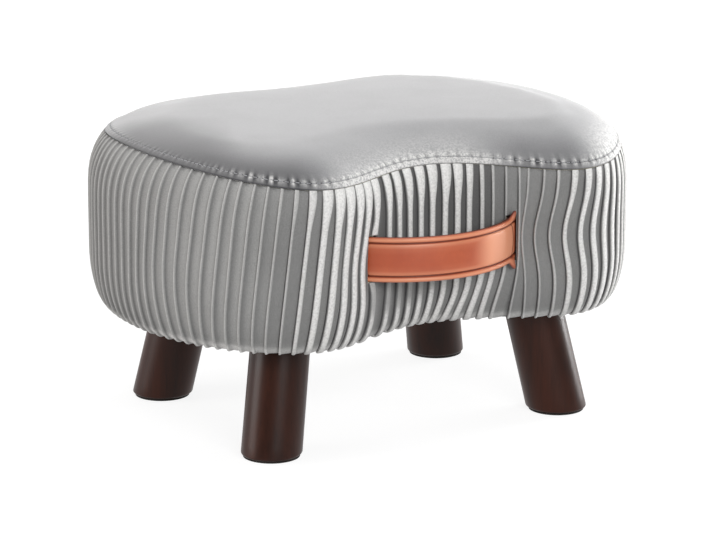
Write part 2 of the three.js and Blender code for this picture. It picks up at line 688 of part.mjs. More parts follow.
// A clamp screw lies along local Y of an anchor, with its head on the face side of the strap.
const clampHeadPlace = strapDepth + FIT_GAP + CLAMP.thickness + FIT_GAP;
const clampScrewProfile = (grow) => [
  [0, -CLAMP_SCREW.length - grow],
  [CLAMP_SCREW.diameter / 2 + grow, -CLAMP_SCREW.length - grow],
  [CLAMP_SCREW.diameter / 2 + grow, -grow],
  [CLAMP_SCREW.head / 2 + grow, -grow],
  [CLAMP_SCREW.head / 2 + grow, CLAMP_SCREW.headHeight + grow],
  [0, CLAMP_SCREW.headHeight + grow],
];
const clampScrewGeometry = turned(clampScrewProfile(0), SCREW_SIDES);
const clampPlace = blockMiddle + BLOCK.screwOffset;
const clampHeights = [-0.5, 0.5].map((share) => share * CLAMP.screwSpacing);
const clampHole = rod(
  CLAMP_SCREW.diameter + 2 * FIT_GAP, CLAMP_SCREW.length + CUT_OVERRUN, -CLAMP_SCREW.length,
  SCREW_SIDES);

// Turns a Z rod whose upper end is the head into the clamp screw's place on one side
function clampMatrix(side, height) {
  const turn = new THREE.Matrix4().makeRotationX(side * Math.PI / 2);
  return turn.setPosition(clampPlace, -side * clampHeadPlace, height);
}

const strapTools = [-1, 1].flatMap((side) => clampHeights.map((height) => (
  clampHole.clone().applyMatrix4(clampMatrix(side, height)).applyMatrix4(anchorMatrix(side)))));
addMesh(stool, 'handle_strap', cut(strapBand(strapFaceSection), strapTools), leather);
addMesh(stool, 'handle_backing', cut(strapBand(boxSection(
  STRAP.width / 2, FIT_GAP, FIT_GAP + STRAP_BACKING_THICKNESS)), strapTools), webbing);

blocks.forEach(({ name, side }) => {
  const label = sideName(side);
  const anchor = new THREE.Group();
  anchor.applyMatrix4(anchorMatrix(side));
  stool.add(anchor);

  const blockLocal = new THREE.Vector3(blockMiddle, side * blockInward, postMiddle - STRAP_HEIGHT);
  const blockTools = clampHeights.map((height) => clampHole.clone()
    .applyMatrix4(clampMatrix(side, height))
    .translate(-blockLocal.x, -blockLocal.y, -blockLocal.z));
  addMesh(anchor, name, drilledBar(
    BLOCK.length, BLOCK.thickness, -BLOCK.screwOffset, blockTools), plywood)
    .position.copy(blockLocal);

  const plate = new THREE.BoxGeometry(CLAMP.length, CLAMP.thickness, STRAP.width)
    .translate(clampPlace, -side * (strapDepth + FIT_GAP + CLAMP.thickness / 2), 0);
  addMesh(anchor, `clamp_plate_${label}`, cut(plate, clampHeights.map((height) => (
    clampHole.clone().applyMatrix4(clampMatrix(side, height))))), zincSteel);
  clampHeights.forEach((height) => {
    const level = height < 0 ? 'lower' : 'upper';
    addMesh(anchor, `clamp_screw_${label}_${level}`, clampScrewGeometry, zincSteel)
      .applyMatrix4(clampMatrix(side, height));
  });
});

// Legs

// A straight turned leg is sheared, so both ends stay level, and widened so that it stays round.
function legShear(corner) {
  const splay = new THREE.Vector2(
    -corner.x * LEG_SPLAY_PER_HEIGHT.x, -corner.y * LEG_SPLAY_PER_HEIGHT.y);
  const heading = splay.angle();
  const widen = Math.hypot(1, splay.length());
  const shear = new THREE.Matrix4().set(
    1, 0, splay.x, 0,
    0, 1, splay.y, 0,
    0, 0, 1, 0,
    0, 0, 0, 1);
  return shear
    .multiply(new THREE.Matrix4().makeRotationZ(heading))
    .multiply(new THREE.Matrix4().makeScale(widen, 1, 1))
    .multiply(new THREE.Matrix4().makeRotationZ(-heading));
}

const legLength = LEG_TOP - LEG_BOTTOM;
const legProfile = [
  [0, 0],
  [LEG_DIAMETER.foot / 2 - LEG_EDGE_ROUND, 0],
  [LEG_DIAMETER.foot / 2, LEG_EDGE_ROUND],
  [LEG_DIAMETER.top / 2, legLength],
  [0, legLength],
];
const boltHole = rod(BOLT.diameter + 2 * FIT_GAP, BOLT.grip + FIT_GAP + CUT_OVERRUN,
  legLength - BOLT.grip - FIT_GAP);
const boltLength = BOLT.grip + (BASE_BOARD_TOP - LEG_TOP) + BOLT.above;
const teeNutGeometry = turned([
  [BOLT.diameter / 2 + FIT_GAP, -TEE_NUT.barrelLength],
  [TEE_NUT.barrel / 2, -TEE_NUT.barrelLength],
  [TEE_NUT.barrel / 2, 0],
  [TEE_NUT.flange / 2, 0],
  [TEE_NUT.flange / 2, TEE_NUT.flangeThickness],
  [BOLT.diameter / 2 + FIT_GAP, TEE_NUT.flangeThickness],
  [BOLT.diameter / 2 + FIT_GAP, -TEE_NUT.barrelLength],
]);

corners.forEach((corner) => {
  const foot = legAxisAt(corner, LEG_BOTTOM);
  const top = legAxisAt(corner, LEG_TOP);
  const leg = turned(legProfile, LEG_SIDES).applyMatrix4(legShear(corner));
  const hole = boltHole.clone().translate(top.x - foot.x, top.y - foot.y, 0);
  addMesh(stool, `leg_${corner.name}`, cut(leg, [hole]), stainedWood)
    .position.set(foot.x, foot.y, LEG_BOTTOM);
  addMesh(stool, `foot_pad_${corner.name}`, new THREE.CylinderGeometry(
    PAD.diameter / 2, PAD.diameter / 2, PAD.thickness, LEG_SIDES).rotateX(Math.PI / 2), felt)
    .position.set(foot.x, foot.y, PAD.thickness / 2);
  addMesh(stool, `hanger_bolt_${corner.name}`, rod(BOLT.diameter, boltLength, 0), zincSteel)
    .position.set(top.x, top.y, LEG_TOP - BOLT.grip);
  addMesh(stool, `tee_nut_${corner.name}`, teeNutGeometry, zincSteel)
    .position.set(top.x, top.y, BASE_BOARD_TOP + FIT_GAP);
});

// Dust cover

const dustTop = HEM_HEIGHT - FIT_GAP;
const dustBottom = dustTop - DUST_COVER.thickness;
const legHoleTools = corners.map((corner) => {
  const middle = legAxisAt(corner, dustBottom);
  const widest = Math.max(LEG_DIAMETER.top, LEG_DIAMETER.foot);
  return rod(widest + 2 * LEG_HOLE_MARGIN, 2 * CUT_OVERRUN, -CUT_OVERRUN)
    .applyMatrix4(legShear(corner))
    .translate(middle.x, middle.y, dustBottom);
});
const dustRing = ringPoints(HEM_ROUND.inset + STAPLE_MARGIN - DUST_COVER.overlap);
addMesh(
  stool, 'dust_cover', cut(sheet(dustRing, [], dustBottom, dustTop), legHoleTools), nonWoven);

// The origin is on the floor under the middle of the whole stool.
const middle = new THREE.Box3().setFromObject(stool).getCenter(new THREE.Vector3());
stool.position.set(-middle.x, -middle.y, 0);

export default stool;
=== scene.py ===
# Looks of the footstool: its velvet, pleats, strap, legs and hidden parts, around the CAD frame.
# Metres, +Z up. The outline's own middle is the origin here, and SHIFT moves pieces to the frame.
import json
import math

import bmesh
import bpy
import numpy as np
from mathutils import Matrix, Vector
from mathutils.geometry import delaunay_2d_cdt
from mathutils.kdtree import KDTree

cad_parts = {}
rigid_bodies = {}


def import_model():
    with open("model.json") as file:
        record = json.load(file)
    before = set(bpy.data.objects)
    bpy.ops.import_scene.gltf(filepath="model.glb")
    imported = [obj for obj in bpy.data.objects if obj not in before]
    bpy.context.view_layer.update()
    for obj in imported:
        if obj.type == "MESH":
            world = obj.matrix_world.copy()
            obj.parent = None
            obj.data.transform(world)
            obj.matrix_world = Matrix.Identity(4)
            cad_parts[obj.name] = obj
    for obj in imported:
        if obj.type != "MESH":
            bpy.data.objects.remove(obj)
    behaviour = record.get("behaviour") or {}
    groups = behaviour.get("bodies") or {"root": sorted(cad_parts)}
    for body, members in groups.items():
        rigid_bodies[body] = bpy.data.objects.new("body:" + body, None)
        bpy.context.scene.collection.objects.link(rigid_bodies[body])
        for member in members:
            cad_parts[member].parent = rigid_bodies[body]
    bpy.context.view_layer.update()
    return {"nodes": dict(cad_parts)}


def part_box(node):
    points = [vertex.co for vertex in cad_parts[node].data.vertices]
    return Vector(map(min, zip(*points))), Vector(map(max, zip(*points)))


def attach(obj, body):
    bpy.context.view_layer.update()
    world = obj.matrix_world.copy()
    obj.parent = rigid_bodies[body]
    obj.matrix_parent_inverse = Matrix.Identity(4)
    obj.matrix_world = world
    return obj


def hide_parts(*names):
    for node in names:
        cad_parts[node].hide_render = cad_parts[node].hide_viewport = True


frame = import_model()
scene = bpy.context.scene
MM = 0.001
rng = np.random.default_rng(11)


def linked(name, data):
    made = bpy.data.objects.new(name, data)
    scene.collection.objects.link(made)
    return made


def aim(holder, direction):
    holder.rotation_mode = "QUATERNION"
    holder.rotation_quaternion = direction.to_track_quat("-Z", "Y")


def middle_of(node_name):
    return np.mean(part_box(node_name), axis=0)


# Camera
CORNERS = {
    "front_left": (-1, -1), "front_right": (1, -1), "rear_left": (-1, 1), "rear_right": (1, 1)}
pad_middles = np.array([middle_of(f"foot_pad_{corner}") for corner in CORNERS])
SHIFT = np.array([*pad_middles[:, :2].mean(axis=0), 0.0])
CAMERA_AZIMUTH = math.radians(-29.297)
CAMERA_ELEVATION = math.radians(14.341)
CAMERA_DISTANCE = 2.4927
CAMERA_TARGET = (0.16 * MM, 103.83 * MM)
CAMERA_LENS = 164.3


def make_camera():
    back = Vector((
        math.sin(CAMERA_AZIMUTH) * math.cos(CAMERA_ELEVATION),
        -math.cos(CAMERA_AZIMUTH) * math.cos(CAMERA_ELEVATION),
        math.sin(CAMERA_ELEVATION)))
    right = Vector((math.cos(CAMERA_AZIMUTH), math.sin(CAMERA_AZIMUTH), 0))
    data = bpy.data.cameras.new("camera")
    data.lens = CAMERA_LENS
    data.sensor_width = 36
    data.clip_start = 0.1
    data.clip_end = 50
    camera = linked("camera", data)
    camera.location = (
        back * CAMERA_DISTANCE + right * CAMERA_TARGET[0]
        + Vector((0, 0, CAMERA_TARGET[1])) + Vector(SHIFT))
    aim(camera, -back)
    scene.camera = camera


make_camera()

# The body's surface. A waist is its depth and its spread.
HALF_LENGTH = 204.5 * MM
HALF_DEPTH = 194 * MM
OUTLINE_EXPONENT = 2.1
FRONT_WAIST = (77 * MM, 90.5 * MM)
REAR_WAIST = (41.7 * MM, 113 * MM)
WAIST_FADE = 0.5
HEM_HEIGHT = 86 * MM
HEM_INSET = 14.8 * MM
HEM_RISE = 44.6 * MM
SHOULDER_HEIGHT = 168.7 * MM
CROWN_INSET = 69.5 * MM
CROWN_RISE = 60.5 * MM
CROWN_POWER = 2 / 3
CROWN_EDGE_ANGLE = 0.904 * math.pi / 2
SEAM_ANGLE, SEAM_TILT, SEAM_DIP = 0.7, 0.15, 0.43
PLEAT_COUNT = 112
PLEAT_PHASE = 0.2
PLEAT_LAY_INSET = 8 * MM
CLOTH = 1.6 * MM
SEAT_BOARD_TOP = 180 * MM
STAPLE_MARGIN = 19 * MM
FIT_GAP = 0.3 * MM


def smooth_step(x, low, high):
    t = np.clip((x - low) / (high - low), 0, 1)
    return t * t * (3 - 2 * t)


def window(place, rise, fall):
    """1 between two places, with soft ends, each given as where it starts and ends."""
    return smooth_step(place, *rise) * (1 - smooth_step(place, *fall))


def hump(x, spread):
    return np.exp(-(x / spread) ** 2)


def running_length(points):
    """The length of a line of points up to each of them."""
    steps = np.linalg.norm(np.diff(points, axis=0), axis=-1)
    return np.concatenate([0 * steps[:1], np.cumsum(steps, axis=0)])


def looped(line):
    return np.concatenate([line, line[:1]])


def at_height(flat, height):
    return np.column_stack([flat, height + 0 * flat[:, 0]])


def outline(angle):
    cosine, sine = np.cos(angle), np.sin(angle)
    power = 2 / OUTLINE_EXPONENT
    x = HALF_LENGTH * np.sign(cosine) * abs(cosine) ** power
    y = HALF_DEPTH * np.sign(sine) * abs(sine) ** power
    depth = np.where(y < 0, FRONT_WAIST[0], REAR_WAIST[0])
    spread = np.where(y < 0, FRONT_WAIST[1], REAR_WAIST[1])
    fade = np.minimum(1, abs(y) / (WAIST_FADE * HALF_DEPTH))
    return np.stack([x, y - np.sign(y) * depth * hump(x, spread) * fade], -1)


def outline_frame(angle):
    along = outline(angle + 1e-4) - outline(angle - 1e-4)
    along /= np.linalg.norm(along, axis=-1, keepdims=True)
    return outline(angle), np.stack([along[..., 1], -along[..., 0]], -1)


LAY_ANGLES = np.pi + 2 * np.pi * np.arange(2881) / 2880
lay_points, lay_normals = outline_frame(LAY_ANGLES)
LAY_LENGTHS = running_length(lay_points - lay_normals * PLEAT_LAY_INSET)
PITCH = LAY_LENGTHS[-1] / PLEAT_COUNT


def frames(place):
    """Outline points and outward normals at places counted in pleats from the left end."""
    along = np.mod(np.asarray(place, float) + PLEAT_PHASE, PLEAT_COUNT) * PITCH
    return outline_frame(np.interp(along, LAY_LENGTHS, LAY_ANGLES))


def seam_angle(point):
    tilt = SEAM_TILT * point[..., 0] / HALF_LENGTH
    return SEAM_ANGLE - tilt - SEAM_DIP * (point[..., 1] / HALF_DEPTH) ** 2


def crown(angle):
    """Inset, height and normal (outward, up) of the crown's profile."""
    sine, cosine = np.maximum(np.sin(angle), 1e-6), np.maximum(np.cos(angle), 1e-6)
    inset = CROWN_INSET * (1 - cosine ** CROWN_POWER)
    height = SHOULDER_HEIGHT + CROWN_RISE * sine ** CROWN_POWER
    out = cosine ** (2 - CROWN_POWER) / CROWN_INSET
    up = sine ** (2 - CROWN_POWER) / CROWN_RISE
    size = np.hypot(out, up)
    return inset, height, out / size, up / size


def hem(angle):
    """The same for the hem's bend, a quarter of an ellipse."""
    inset = HEM_INSET * (1 - np.cos(angle))
    height = HEM_HEIGHT + HEM_RISE * (1 - np.sin(angle))
    out, up = np.cos(angle) / HEM_INSET, -np.sin(angle) / HEM_RISE
    size = np.hypot(out, up)
    return inset, height, out / size, up / size


def side_profile(point, v):
    """The side at v, from 0 at the seam, 1 at the shoulder and 2 at the hem's bend to 3 under it."""
    v = np.asarray(v, float) + 0 * point[..., 0]
    upper = crown(seam_angle(point) * np.clip(1 - v, 0, 1))
    lower = hem(np.clip(v - 2, 0, 1) * np.pi / 2)
    hem_top = HEM_HEIGHT + HEM_RISE
    wall_height = SHOULDER_HEIGHT + (hem_top - SHOULDER_HEIGHT) * np.clip(v - 1, 0, 1)
    wall = (0 * v, wall_height, 1 + 0 * v, 0 * v)
    return [np.where(v <= 1, a, np.where(v <= 2, b, c)) for a, b, c in zip(upper, wall, lower)]


def lift(point, normal, profile, depth=0.0):
    """Points of a profile, moved inwards by a depth along the surface's own normal."""
    inset, height, out, up = profile
    return at_height(point - normal * (inset + depth * out)[..., None], height - depth * up)


# Meshes
def plain_mesh(name, points, faces):
    mesh = bpy.data.meshes.new(name)
    mesh.from_pydata([tuple(p) for p in np.asarray(points, float)], [], faces)
    return mesh


def dress(mesh, material):
    mesh.materials.clear()
    mesh.materials.append(material)


def values_of(collection, key, width=1):
    values = np.zeros(len(collection) * width)
    collection.foreach_get(key, values)
    return values.reshape(-1, width) if width > 1 else values


def set_mask(mesh, key, values):
    if key in mesh.attributes:
        mesh.attributes.remove(mesh.attributes[key])
    layer = mesh.attributes.new(key, "FLOAT", "POINT")
    layer.data.foreach_set("value", np.asarray(values, np.float32))


def make_piece(name, points, faces, material, smooth=True, masks=None):
    mesh = plain_mesh(name, points, faces)
    for key, values in (masks or {}).items():
        set_mask(mesh, key, values)
    mesh.validate()
    mesh.update()
    mesh.polygons.foreach_set("use_smooth", [smooth] * len(mesh.polygons))
    dress(mesh, material)
    piece = linked(name, mesh)
    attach(piece, "root")
    return piece


def fix_normals(piece, split_bottom=False):
    """Turns all faces outwards, and cuts a flat bottom with many corners into triangles."""
    form = bmesh.new()
    form.from_mesh(piece.data)
    if split_bottom:
        bmesh.ops.triangulate(form, faces=[face for face in form.faces if len(face.verts) > 4])
    bmesh.ops.recalc_face_normals(form, faces=form.faces)
    form.to_mesh(piece.data)
    form.free()


def apply_modifiers(piece):
    graph = bpy.context.evaluated_depsgraph_get()
    made = bpy.data.meshes.new_from_object(piece.evaluated_get(graph))
    old, material = piece.data, piece.data.materials[0]
    piece.modifiers.clear()
    piece.data = made
    made.name = piece.name
    dress(made, material)
    bpy.data.meshes.remove(old)


def grid_faces(rows, columns, wrap_rows=False, wrap_columns=False):
    """Quads of a grid stored row by row."""
    r = np.arange(rows if wrap_rows else rows - 1)
    c = np.arange(columns if wrap_columns else columns - 1)
    r, c = np.meshgrid(r, c, indexing="ij")
    r2, c2 = (r + 1) % rows, (c + 1) % columns
    quads = np.stack([r * columns + c, r2 * columns + c, r2 * columns + c2, r * columns + c2], -1)
    return quads.reshape(-1, 4).tolist()


def merge(parts):
    """One point and face list from several (points, faces)."""
    points, faces, start = [], [], 0
    for some_points, some_faces in parts:
        points.append(np.asarray(some_points, float))
        faces += [[i + start for i in face] for face in some_faces]
        start += len(some_points)
    return np.concatenate(points), faces


def lathe(profile, sides):
    """A closed turned form about Z from (radius, height) pairs that start and end on the axis."""
    turn = np.linspace(0, 2 * np.pi, sides, endpoint=False)
    ring = [(r, z) for r, z in profile if r > 0]
    points = [(r * math.cos(a), r * math.sin(a), z) for r, z in ring for a in turn]
    faces = grid_faces(len(ring), sides, wrap_columns=True)
    low, high = len(points), len(points) + 1
    points += [(0, 0, profile[0][1]), (0, 0, profile[-1][1])]
    last = (len(ring) - 1) * sides
    for i in range(sides):
        j = (i + 1) % sides
        faces += [[low, j, i], [high, last + i, last + j]]
    return np.array(points, float), [face[::-1] for face in faces]


def spread_along(line, count, length, form, faces):
    """Copies of a form that lies along X, spread along a line."""
    lengths = running_length(line)
    parts = []
    for i in range(count):
        middle = (i + 0.5) * lengths[-1] / count
        a, b = (
            np.array([np.interp(at, lengths, line[:, k]) for k in range(3)])
            for at in (middle - length / 2, middle + length / 2))
        ahead = (b - a) / np.linalg.norm(b - a)
        side = np.cross([0, 0, 1], ahead)
        side /= np.linalg.norm(side)
        turned = np.stack([ahead, side, np.cross(ahead, side)], 1)
        parts.append((form @ turned.T + (a + b) / 2, faces))
    return merge(parts)


# Materials
class Material:
    """A node material with short calls for what the finishes share."""

    def __init__(self, name):
        self.data = bpy.data.materials.new(name)
        self.data.use_nodes = True
        self.tree = self.data.node_tree
        self.shader = self.tree.nodes["Principled BSDF"]
        self.coords = self.node("ShaderNodeTexCoord").outputs["Object"]

    def node(self, kind, inputs=(), **settings):
        """A node with its settings, and its inputs, each a value or what is linked to it."""
        node = self.tree.nodes.new(kind)
        for key, value in settings.items():
            setattr(node, key, value)
        for key, value in dict(inputs).items():
            if isinstance(value, (int, float, tuple)):
                node.inputs[key].default_value = value
            else:
                self.tree.links.new(value, node.inputs[key])
        return node

    def stretched(self, scale):
        inputs = {"Scale": scale, "Vector": self.coords}
        return self.node("ShaderNodeMapping", inputs).outputs["Vector"]

    def noise(self, scale, detail=3.0, stretch=None, roughness=0.55):
        inputs = {"Scale": scale, "Detail": detail, "Roughness": roughness}
        inputs["Vector"] = self.stretched(stretch) if stretch else self.coords
        return self.node("ShaderNodeTexNoise", inputs).outputs["Fac"]

    def cells(self, scale, **settings):
        inputs = {"Scale": scale, "Vector": self.coords}
        return self.node("ShaderNodeTexVoronoi", inputs, **settings).outputs

    def wave(self, inputs):
        return self.node("ShaderNodeTexWave", inputs, bands_direction="DIAGONAL").outputs["Fac"]

    def axes(self, vector):
        return self.node("ShaderNodeSeparateXYZ", {"Vector": vector}).outputs

    def attribute(self, name):
        return self.node("ShaderNodeAttribute", attribute_name=name).outputs["Fac"]

    def math(self, operation, a, b=0.0):
        return self.node("ShaderNodeMath", {0: a, 1: b}, operation=operation).outputs[0]

    def blended(self, first, first_share, second, second_share):
        return self.math(
            "ADD", self.math("MULTIPLY", first, first_share),
            self.math("MULTIPLY", second, second_share))

    def remap(self, value, low, high, to_low, to_high):
        inputs = {"Value": value, "From Min": low, "From Max": high}
        inputs.update({"To Min": to_low, "To Max": to_high})
        return self.node("ShaderNodeMapRange", inputs).outputs["Result"]

    def mix(self, share, first, second, blend="MIX"):
        inputs = {0: share, 6: first, 7: second}
        return self.node("ShaderNodeMix", inputs, data_type="RGBA", blend_type=blend).outputs[2]

    def fade(self, value, low, high, first, second, most=1.0):
        """From one colour to another as a value passes from low to high."""
        return self.mix(self.remap(value, low, high, 0.0, most), first, second)

    def finished(self, colour, roughness, relief, **constants):
        """The material with its colour, roughness, relief and what stays constant."""
        height, strength, distance = relief
        inputs = {"Strength": strength, "Distance": distance, "Height": height}
        normal = self.node("ShaderNodeBump", inputs).outputs["Normal"]
        for name, source in (("Base Color", colour), ("Roughness", roughness), ("Normal", normal)):
            self.tree.links.new(source, self.shader.inputs[name])
        for name, value in constants.items():
            self.shader.inputs[name.replace("_", " ")].default_value = value
        return self.data


def srgb(r, g, b):
    """A linear colour from 8-bit display values."""
    def one(c):
        c /= 255
        return c / 12.92 if c <= 0.04045 else ((c + 0.055) / 1.055) ** 2.4
    return (one(r), one(g), one(b), 1.0)


def shaded(colour, share):
    return tuple(c * share for c in colour[:3]) + (1.0,)


def velvet_material(name, flat, painted_highlight, painted_shade, sheen, facing_shade=1.0, crushed=(0.3, 0.7, 0.66, 1.2)):
    """Short pile with random patches: painted highlight on folds from one mask, painted shade from
    another, and painted shade where the surface faces the camera.
    """
    m = Material(name)
    seen = m.node("ShaderNodeLayerWeight").outputs["Facing"]
    patches, pile, crush = m.noise(28.0, 4.0), m.noise(1400.0, 2.0), m.noise(640.0, 4.0)
    base = m.fade(patches, 0.35, 0.65, flat, shaded(flat, 1.10))
    speckled = m.fade(pile, 0.3, 0.7, base, painted_highlight, most=0.16)
    # Painted highlight from the first mask, varied by noise, then painted shade from the second
    highlight_share = m.math("MULTIPLY", m.attribute("painted_highlight"), m.remap(crush, *crushed))
    with_highlight = m.mix(m.math("MINIMUM", highlight_share, 1.0), speckled, painted_highlight)
    with_shade = m.mix(m.attribute("painted_shade"), with_highlight, painted_shade)
    # The colour gets painted shade where the surface faces the camera
    return m.finished(
        m.mix(1.0, with_shade, m.remap(seen, 0.12, 0.70, facing_shade, 1.0), "MULTIPLY"),
        m.remap(patches, 0.3, 0.7, 0.82, 0.92),
        (m.blended(pile, 0.45, crush, 0.55), 0.35, 0.35 * MM),
        Sheen_Weight=sheen, Sheen_Roughness=0.45, Sheen_Tint=(1.0, 1.0, 1.0, 1.0),
        Specular_IOR_Level=0.12)


def wood_material(name, dark, light, roughness, **coat):
    """Streaks, pores and broad bands along the grain, which runs up Z."""
    m = Material(name)
    along = (60, 60, 3.5)
    streaks = m.noise(1.0, 6.0, stretch=along, roughness=0.65)
    pores = m.noise(1.0, 2.0, stretch=tuple(s * 9 for s in along))
    band = m.noise(1.0, 2.0, stretch=tuple(s * 0.22 for s in along))
    base = m.fade(m.blended(streaks, 0.6, band, 0.4), 0.35, 0.65, dark, light)
    return m.finished(
        m.fade(pores, 0.55, 0.75, base, dark, most=0.35),
        m.remap(streaks, 0.3, 0.7, roughness - 0.05, roughness + 0.07),
        (pores, 0.12, 0.12 * MM), **coat)


def layered_board_material(name):
    """Birch plywood: plies along the edges and a faint grain on the faces."""
    m = Material(name)
    ply_waves = m.math("MULTIPLY", m.axes(m.coords)["Z"], 2 * math.pi / (3 * MM))
    normal = m.node("ShaderNodeNewGeometry").outputs["Normal"]
    edge = m.math("SUBTRACT", 1.0, m.math("ABSOLUTE", m.axes(normal)["Z"]))
    grain = m.noise(1.0, 5.0, stretch=(5, 70, 40))
    face = m.fade(grain, 0.3, 0.7, srgb(214, 186, 145), srgb(186, 150, 106))
    ply = m.fade(m.math("SINE", ply_waves), -0.2, 0.2, srgb(150, 112, 74), face)
    return m.finished(
        m.fade(edge, 0.4, 0.6, face, ply), m.remap(grain, 0.3, 0.7, 0.62, 0.74),
        (grain, 0.15, 0.15 * MM))


def fibre_material(name, dark, light, scale, roughness, depth):
    """Pressed or cut fibres without a direction: hardboard, felt, non-woven cloth."""
    m = Material(name)
    fine, broad = m.noise(scale, 5.0, roughness=0.7), m.noise(scale * 0.06, 3.0)
    return m.finished(
        m.fade(m.blended(fine, 0.7, broad, 0.3), 0.35, 0.65, dark, light),
        m.remap(fine, 0.3, 0.7, roughness - 0.04, roughness + 0.04), (fine, 0.5, depth))


def foam_material(name, colour):
    m = Material(name)
    age = m.noise(14.0, 3.0)
    return m.finished(
        m.fade(age, 0.35, 0.65, colour, shaded(colour, 0.82), most=0.6),
        m.remap(age, 0.3, 0.7, 0.88, 0.96), (m.cells(700.0)["Distance"], 0.6, 0.5 * MM))


def leather_material(name):
    """Smooth leather with random tone: painted highlight where one mask says, and painted shade in
    its creases where another says.
    """
    m = Material(name)
    grain = m.cells(620.0, feature="DISTANCE_TO_EDGE")["Distance"]
    tone, fine = m.noise(32.0, 4.0), m.noise(420.0, 3.0)
    body = m.fade(tone, 0.35, 0.65, srgb(178, 74, 34), srgb(192, 88, 46))
    mottled = m.fade(fine, 0.3, 0.7, body, srgb(168, 78, 44), most=0.25)
    # Painted highlight in a pale colour, then painted shade in a dark one, each where its mask says
    highlighted_leather = m.mix(m.math("MULTIPLY", m.attribute("painted_highlight"), 0.8), mottled, srgb(246, 168, 128))
    return m.finished(
        m.mix(m.attribute("painted_shade"), highlighted_leather, srgb(98, 34, 14)), m.remap(tone, 0.3, 0.7, 0.38, 0.47),
        (m.blended(grain, 0.8, fine, 0.5), 0.22, 0.25 * MM),
        Specular_IOR_Level=0.6, Coat_Weight=0.15, Coat_Roughness=0.4)


def webbing_material(name):
    m = Material(name)
    threads = {"Scale": 0.3, "Distortion": 0.4}
    across = m.wave({**threads, "Vector": m.stretched((900, 0, 0))})
    upright = m.wave({**threads, "Vector": m.stretched((0, 0, 620))})
    weave = m.math("MULTIPLY", across, upright)
    return m.finished(
        m.fade(weave, 0.0, 1.0, srgb(70, 33, 20), srgb(124, 66, 42)),
        m.remap(weave, 0.0, 1.0, 0.85, 0.7), (weave, 0.6, 0.3 * MM))


def zinc_material(name):
    m = Material(name)
    spangle = m.axes(m.cells(260.0)["Color"])["X"]
    scuffs = m.noise(900.0, 4.0)
    return m.finished(
        m.mix(spangle, srgb(196, 199, 203), srgb(170, 173, 178)),
        m.remap(scuffs, 0.3, 0.7, 0.28, 0.46), (scuffs, 0.1, 0.05 * MM), Metallic=0.95)


def thread_material(name, colour):
    m = Material(name)
    twist = m.wave({"Scale": 420.0, "Vector": m.coords})
    return m.finished(
        m.mix(twist, colour, shaded(colour, 0.7)), m.remap(twist, 0.0, 1.0, 0.55, 0.7),
        (twist, 0.4, 0.08 * MM))


# Velvet colours: flat, painted highlight and painted shade; the top also gets painted shade where it
# faces the camera
VELVET_HIGHLIGHT = srgb(240, 239, 237)
velvet_side = velvet_material(
    "velvet_pleated", srgb(143, 143, 142), VELVET_HIGHLIGHT, srgb(60, 59, 60), 0.3)
velvet_top = velvet_material(
    "velvet_top", srgb(158, 158, 160), VELVET_HIGHLIGHT, srgb(84, 84, 86), 0.42, 0.84,
    crushed=(0.4, 0.6, 0.3, 1.35))
leg_wood = wood_material(
    "stained_wood", srgb(27, 11, 6), srgb(62, 29, 17), 0.36,
    Coat_Weight=0.06, Coat_Roughness=0.22, Specular_IOR_Level=0.17)
post_wood = wood_material("post_wood", srgb(186, 146, 98), srgb(216, 182, 136), 0.66)
plywood = layered_board_material("plywood")
hardboard = fibre_material(
    "hardboard", srgb(96, 68, 44), srgb(138, 102, 70), 900.0, 0.78, 0.12 * MM)
non_woven = fibre_material(
    "non_woven", srgb(20, 20, 22), srgb(46, 46, 48), 1300.0, 0.92, 0.2 * MM)
felt = fibre_material("felt", srgb(16, 13, 11), srgb(44, 37, 32), 1500.0, 0.95, 0.3 * MM)
foam = foam_material("foam", srgb(236, 230, 206))
leather = leather_material("leather")
webbing = webbing_material("webbing")
zinc = zinc_material("zinc_steel")
thread = thread_material("thread", srgb(176, 177, 180))

# The pleated side. One pleat across, from the bottom of its tuck: place, share of the pleat's depth,
# how much painted highlight it gets, which also marks the fold, and how much painted shade. A fold's
# far edge is at its width, and the last points lie on the flat.
TUCK = 0.132
FLAT_END = 0.86
FLAT_OVERLAP = 0.05
SECTION_PLACE = np.array([
    -TUCK, -0.130, -0.122, -0.10, -0.10, -0.10, -0.10, -0.05, 0, 0, 0, FLAT_END])
SECTION_WIDTH = np.array([0, 0, 0, 0, 0.22, 0.7, 1, 1, 0, 0, 0, 0])
SECTION_FLAT = np.array([0, 0, 0, 0, 0, 0, 0, 0, 0.35, 0.68, 0.9, 0])
SECTION_DEPTH = np.array([1, 0.72, 0.36, 0.10, 0, 0.02, 0.12, 0.38, 0.55, 0.72, 0.9, 1.0])
SECTION_HIGHLIGHT = np.array([0, 0, 0.4, 0.85, 1, 0.85, 0.5, 0, 0, 0, 0, 0])
SECTION_SHADE = np.array([1, 0.9, 0.35, 0, 0, 0, 0, 0.35, 0.1, 0, 0.12, 0.75])
# The same where a fold stands up as a narrow rib, steep on its right, with the rib's painted shade
RIB_DEPTH = np.array([0.62, 0.5, 0.3, 0.08, 0, 0.03, 0.15, 0.66, 0.74, 0.7, 0.66, 0.62])
RIB_SHADE = np.array([0.15, 0.1, 0, 0, 0, 0, 0, 0.42, 0.16, 0, 0, 0.12])
SECTION_STEPS = len(SECTION_PLACE)
PLEAT_DEPTH = 2.9 * MM
SIDE_MIDDLE = (HEM_HEIGHT + SEAT_BOARD_TOP) / 2
JOIN_SHARE = 0.1 * MM / PITCH

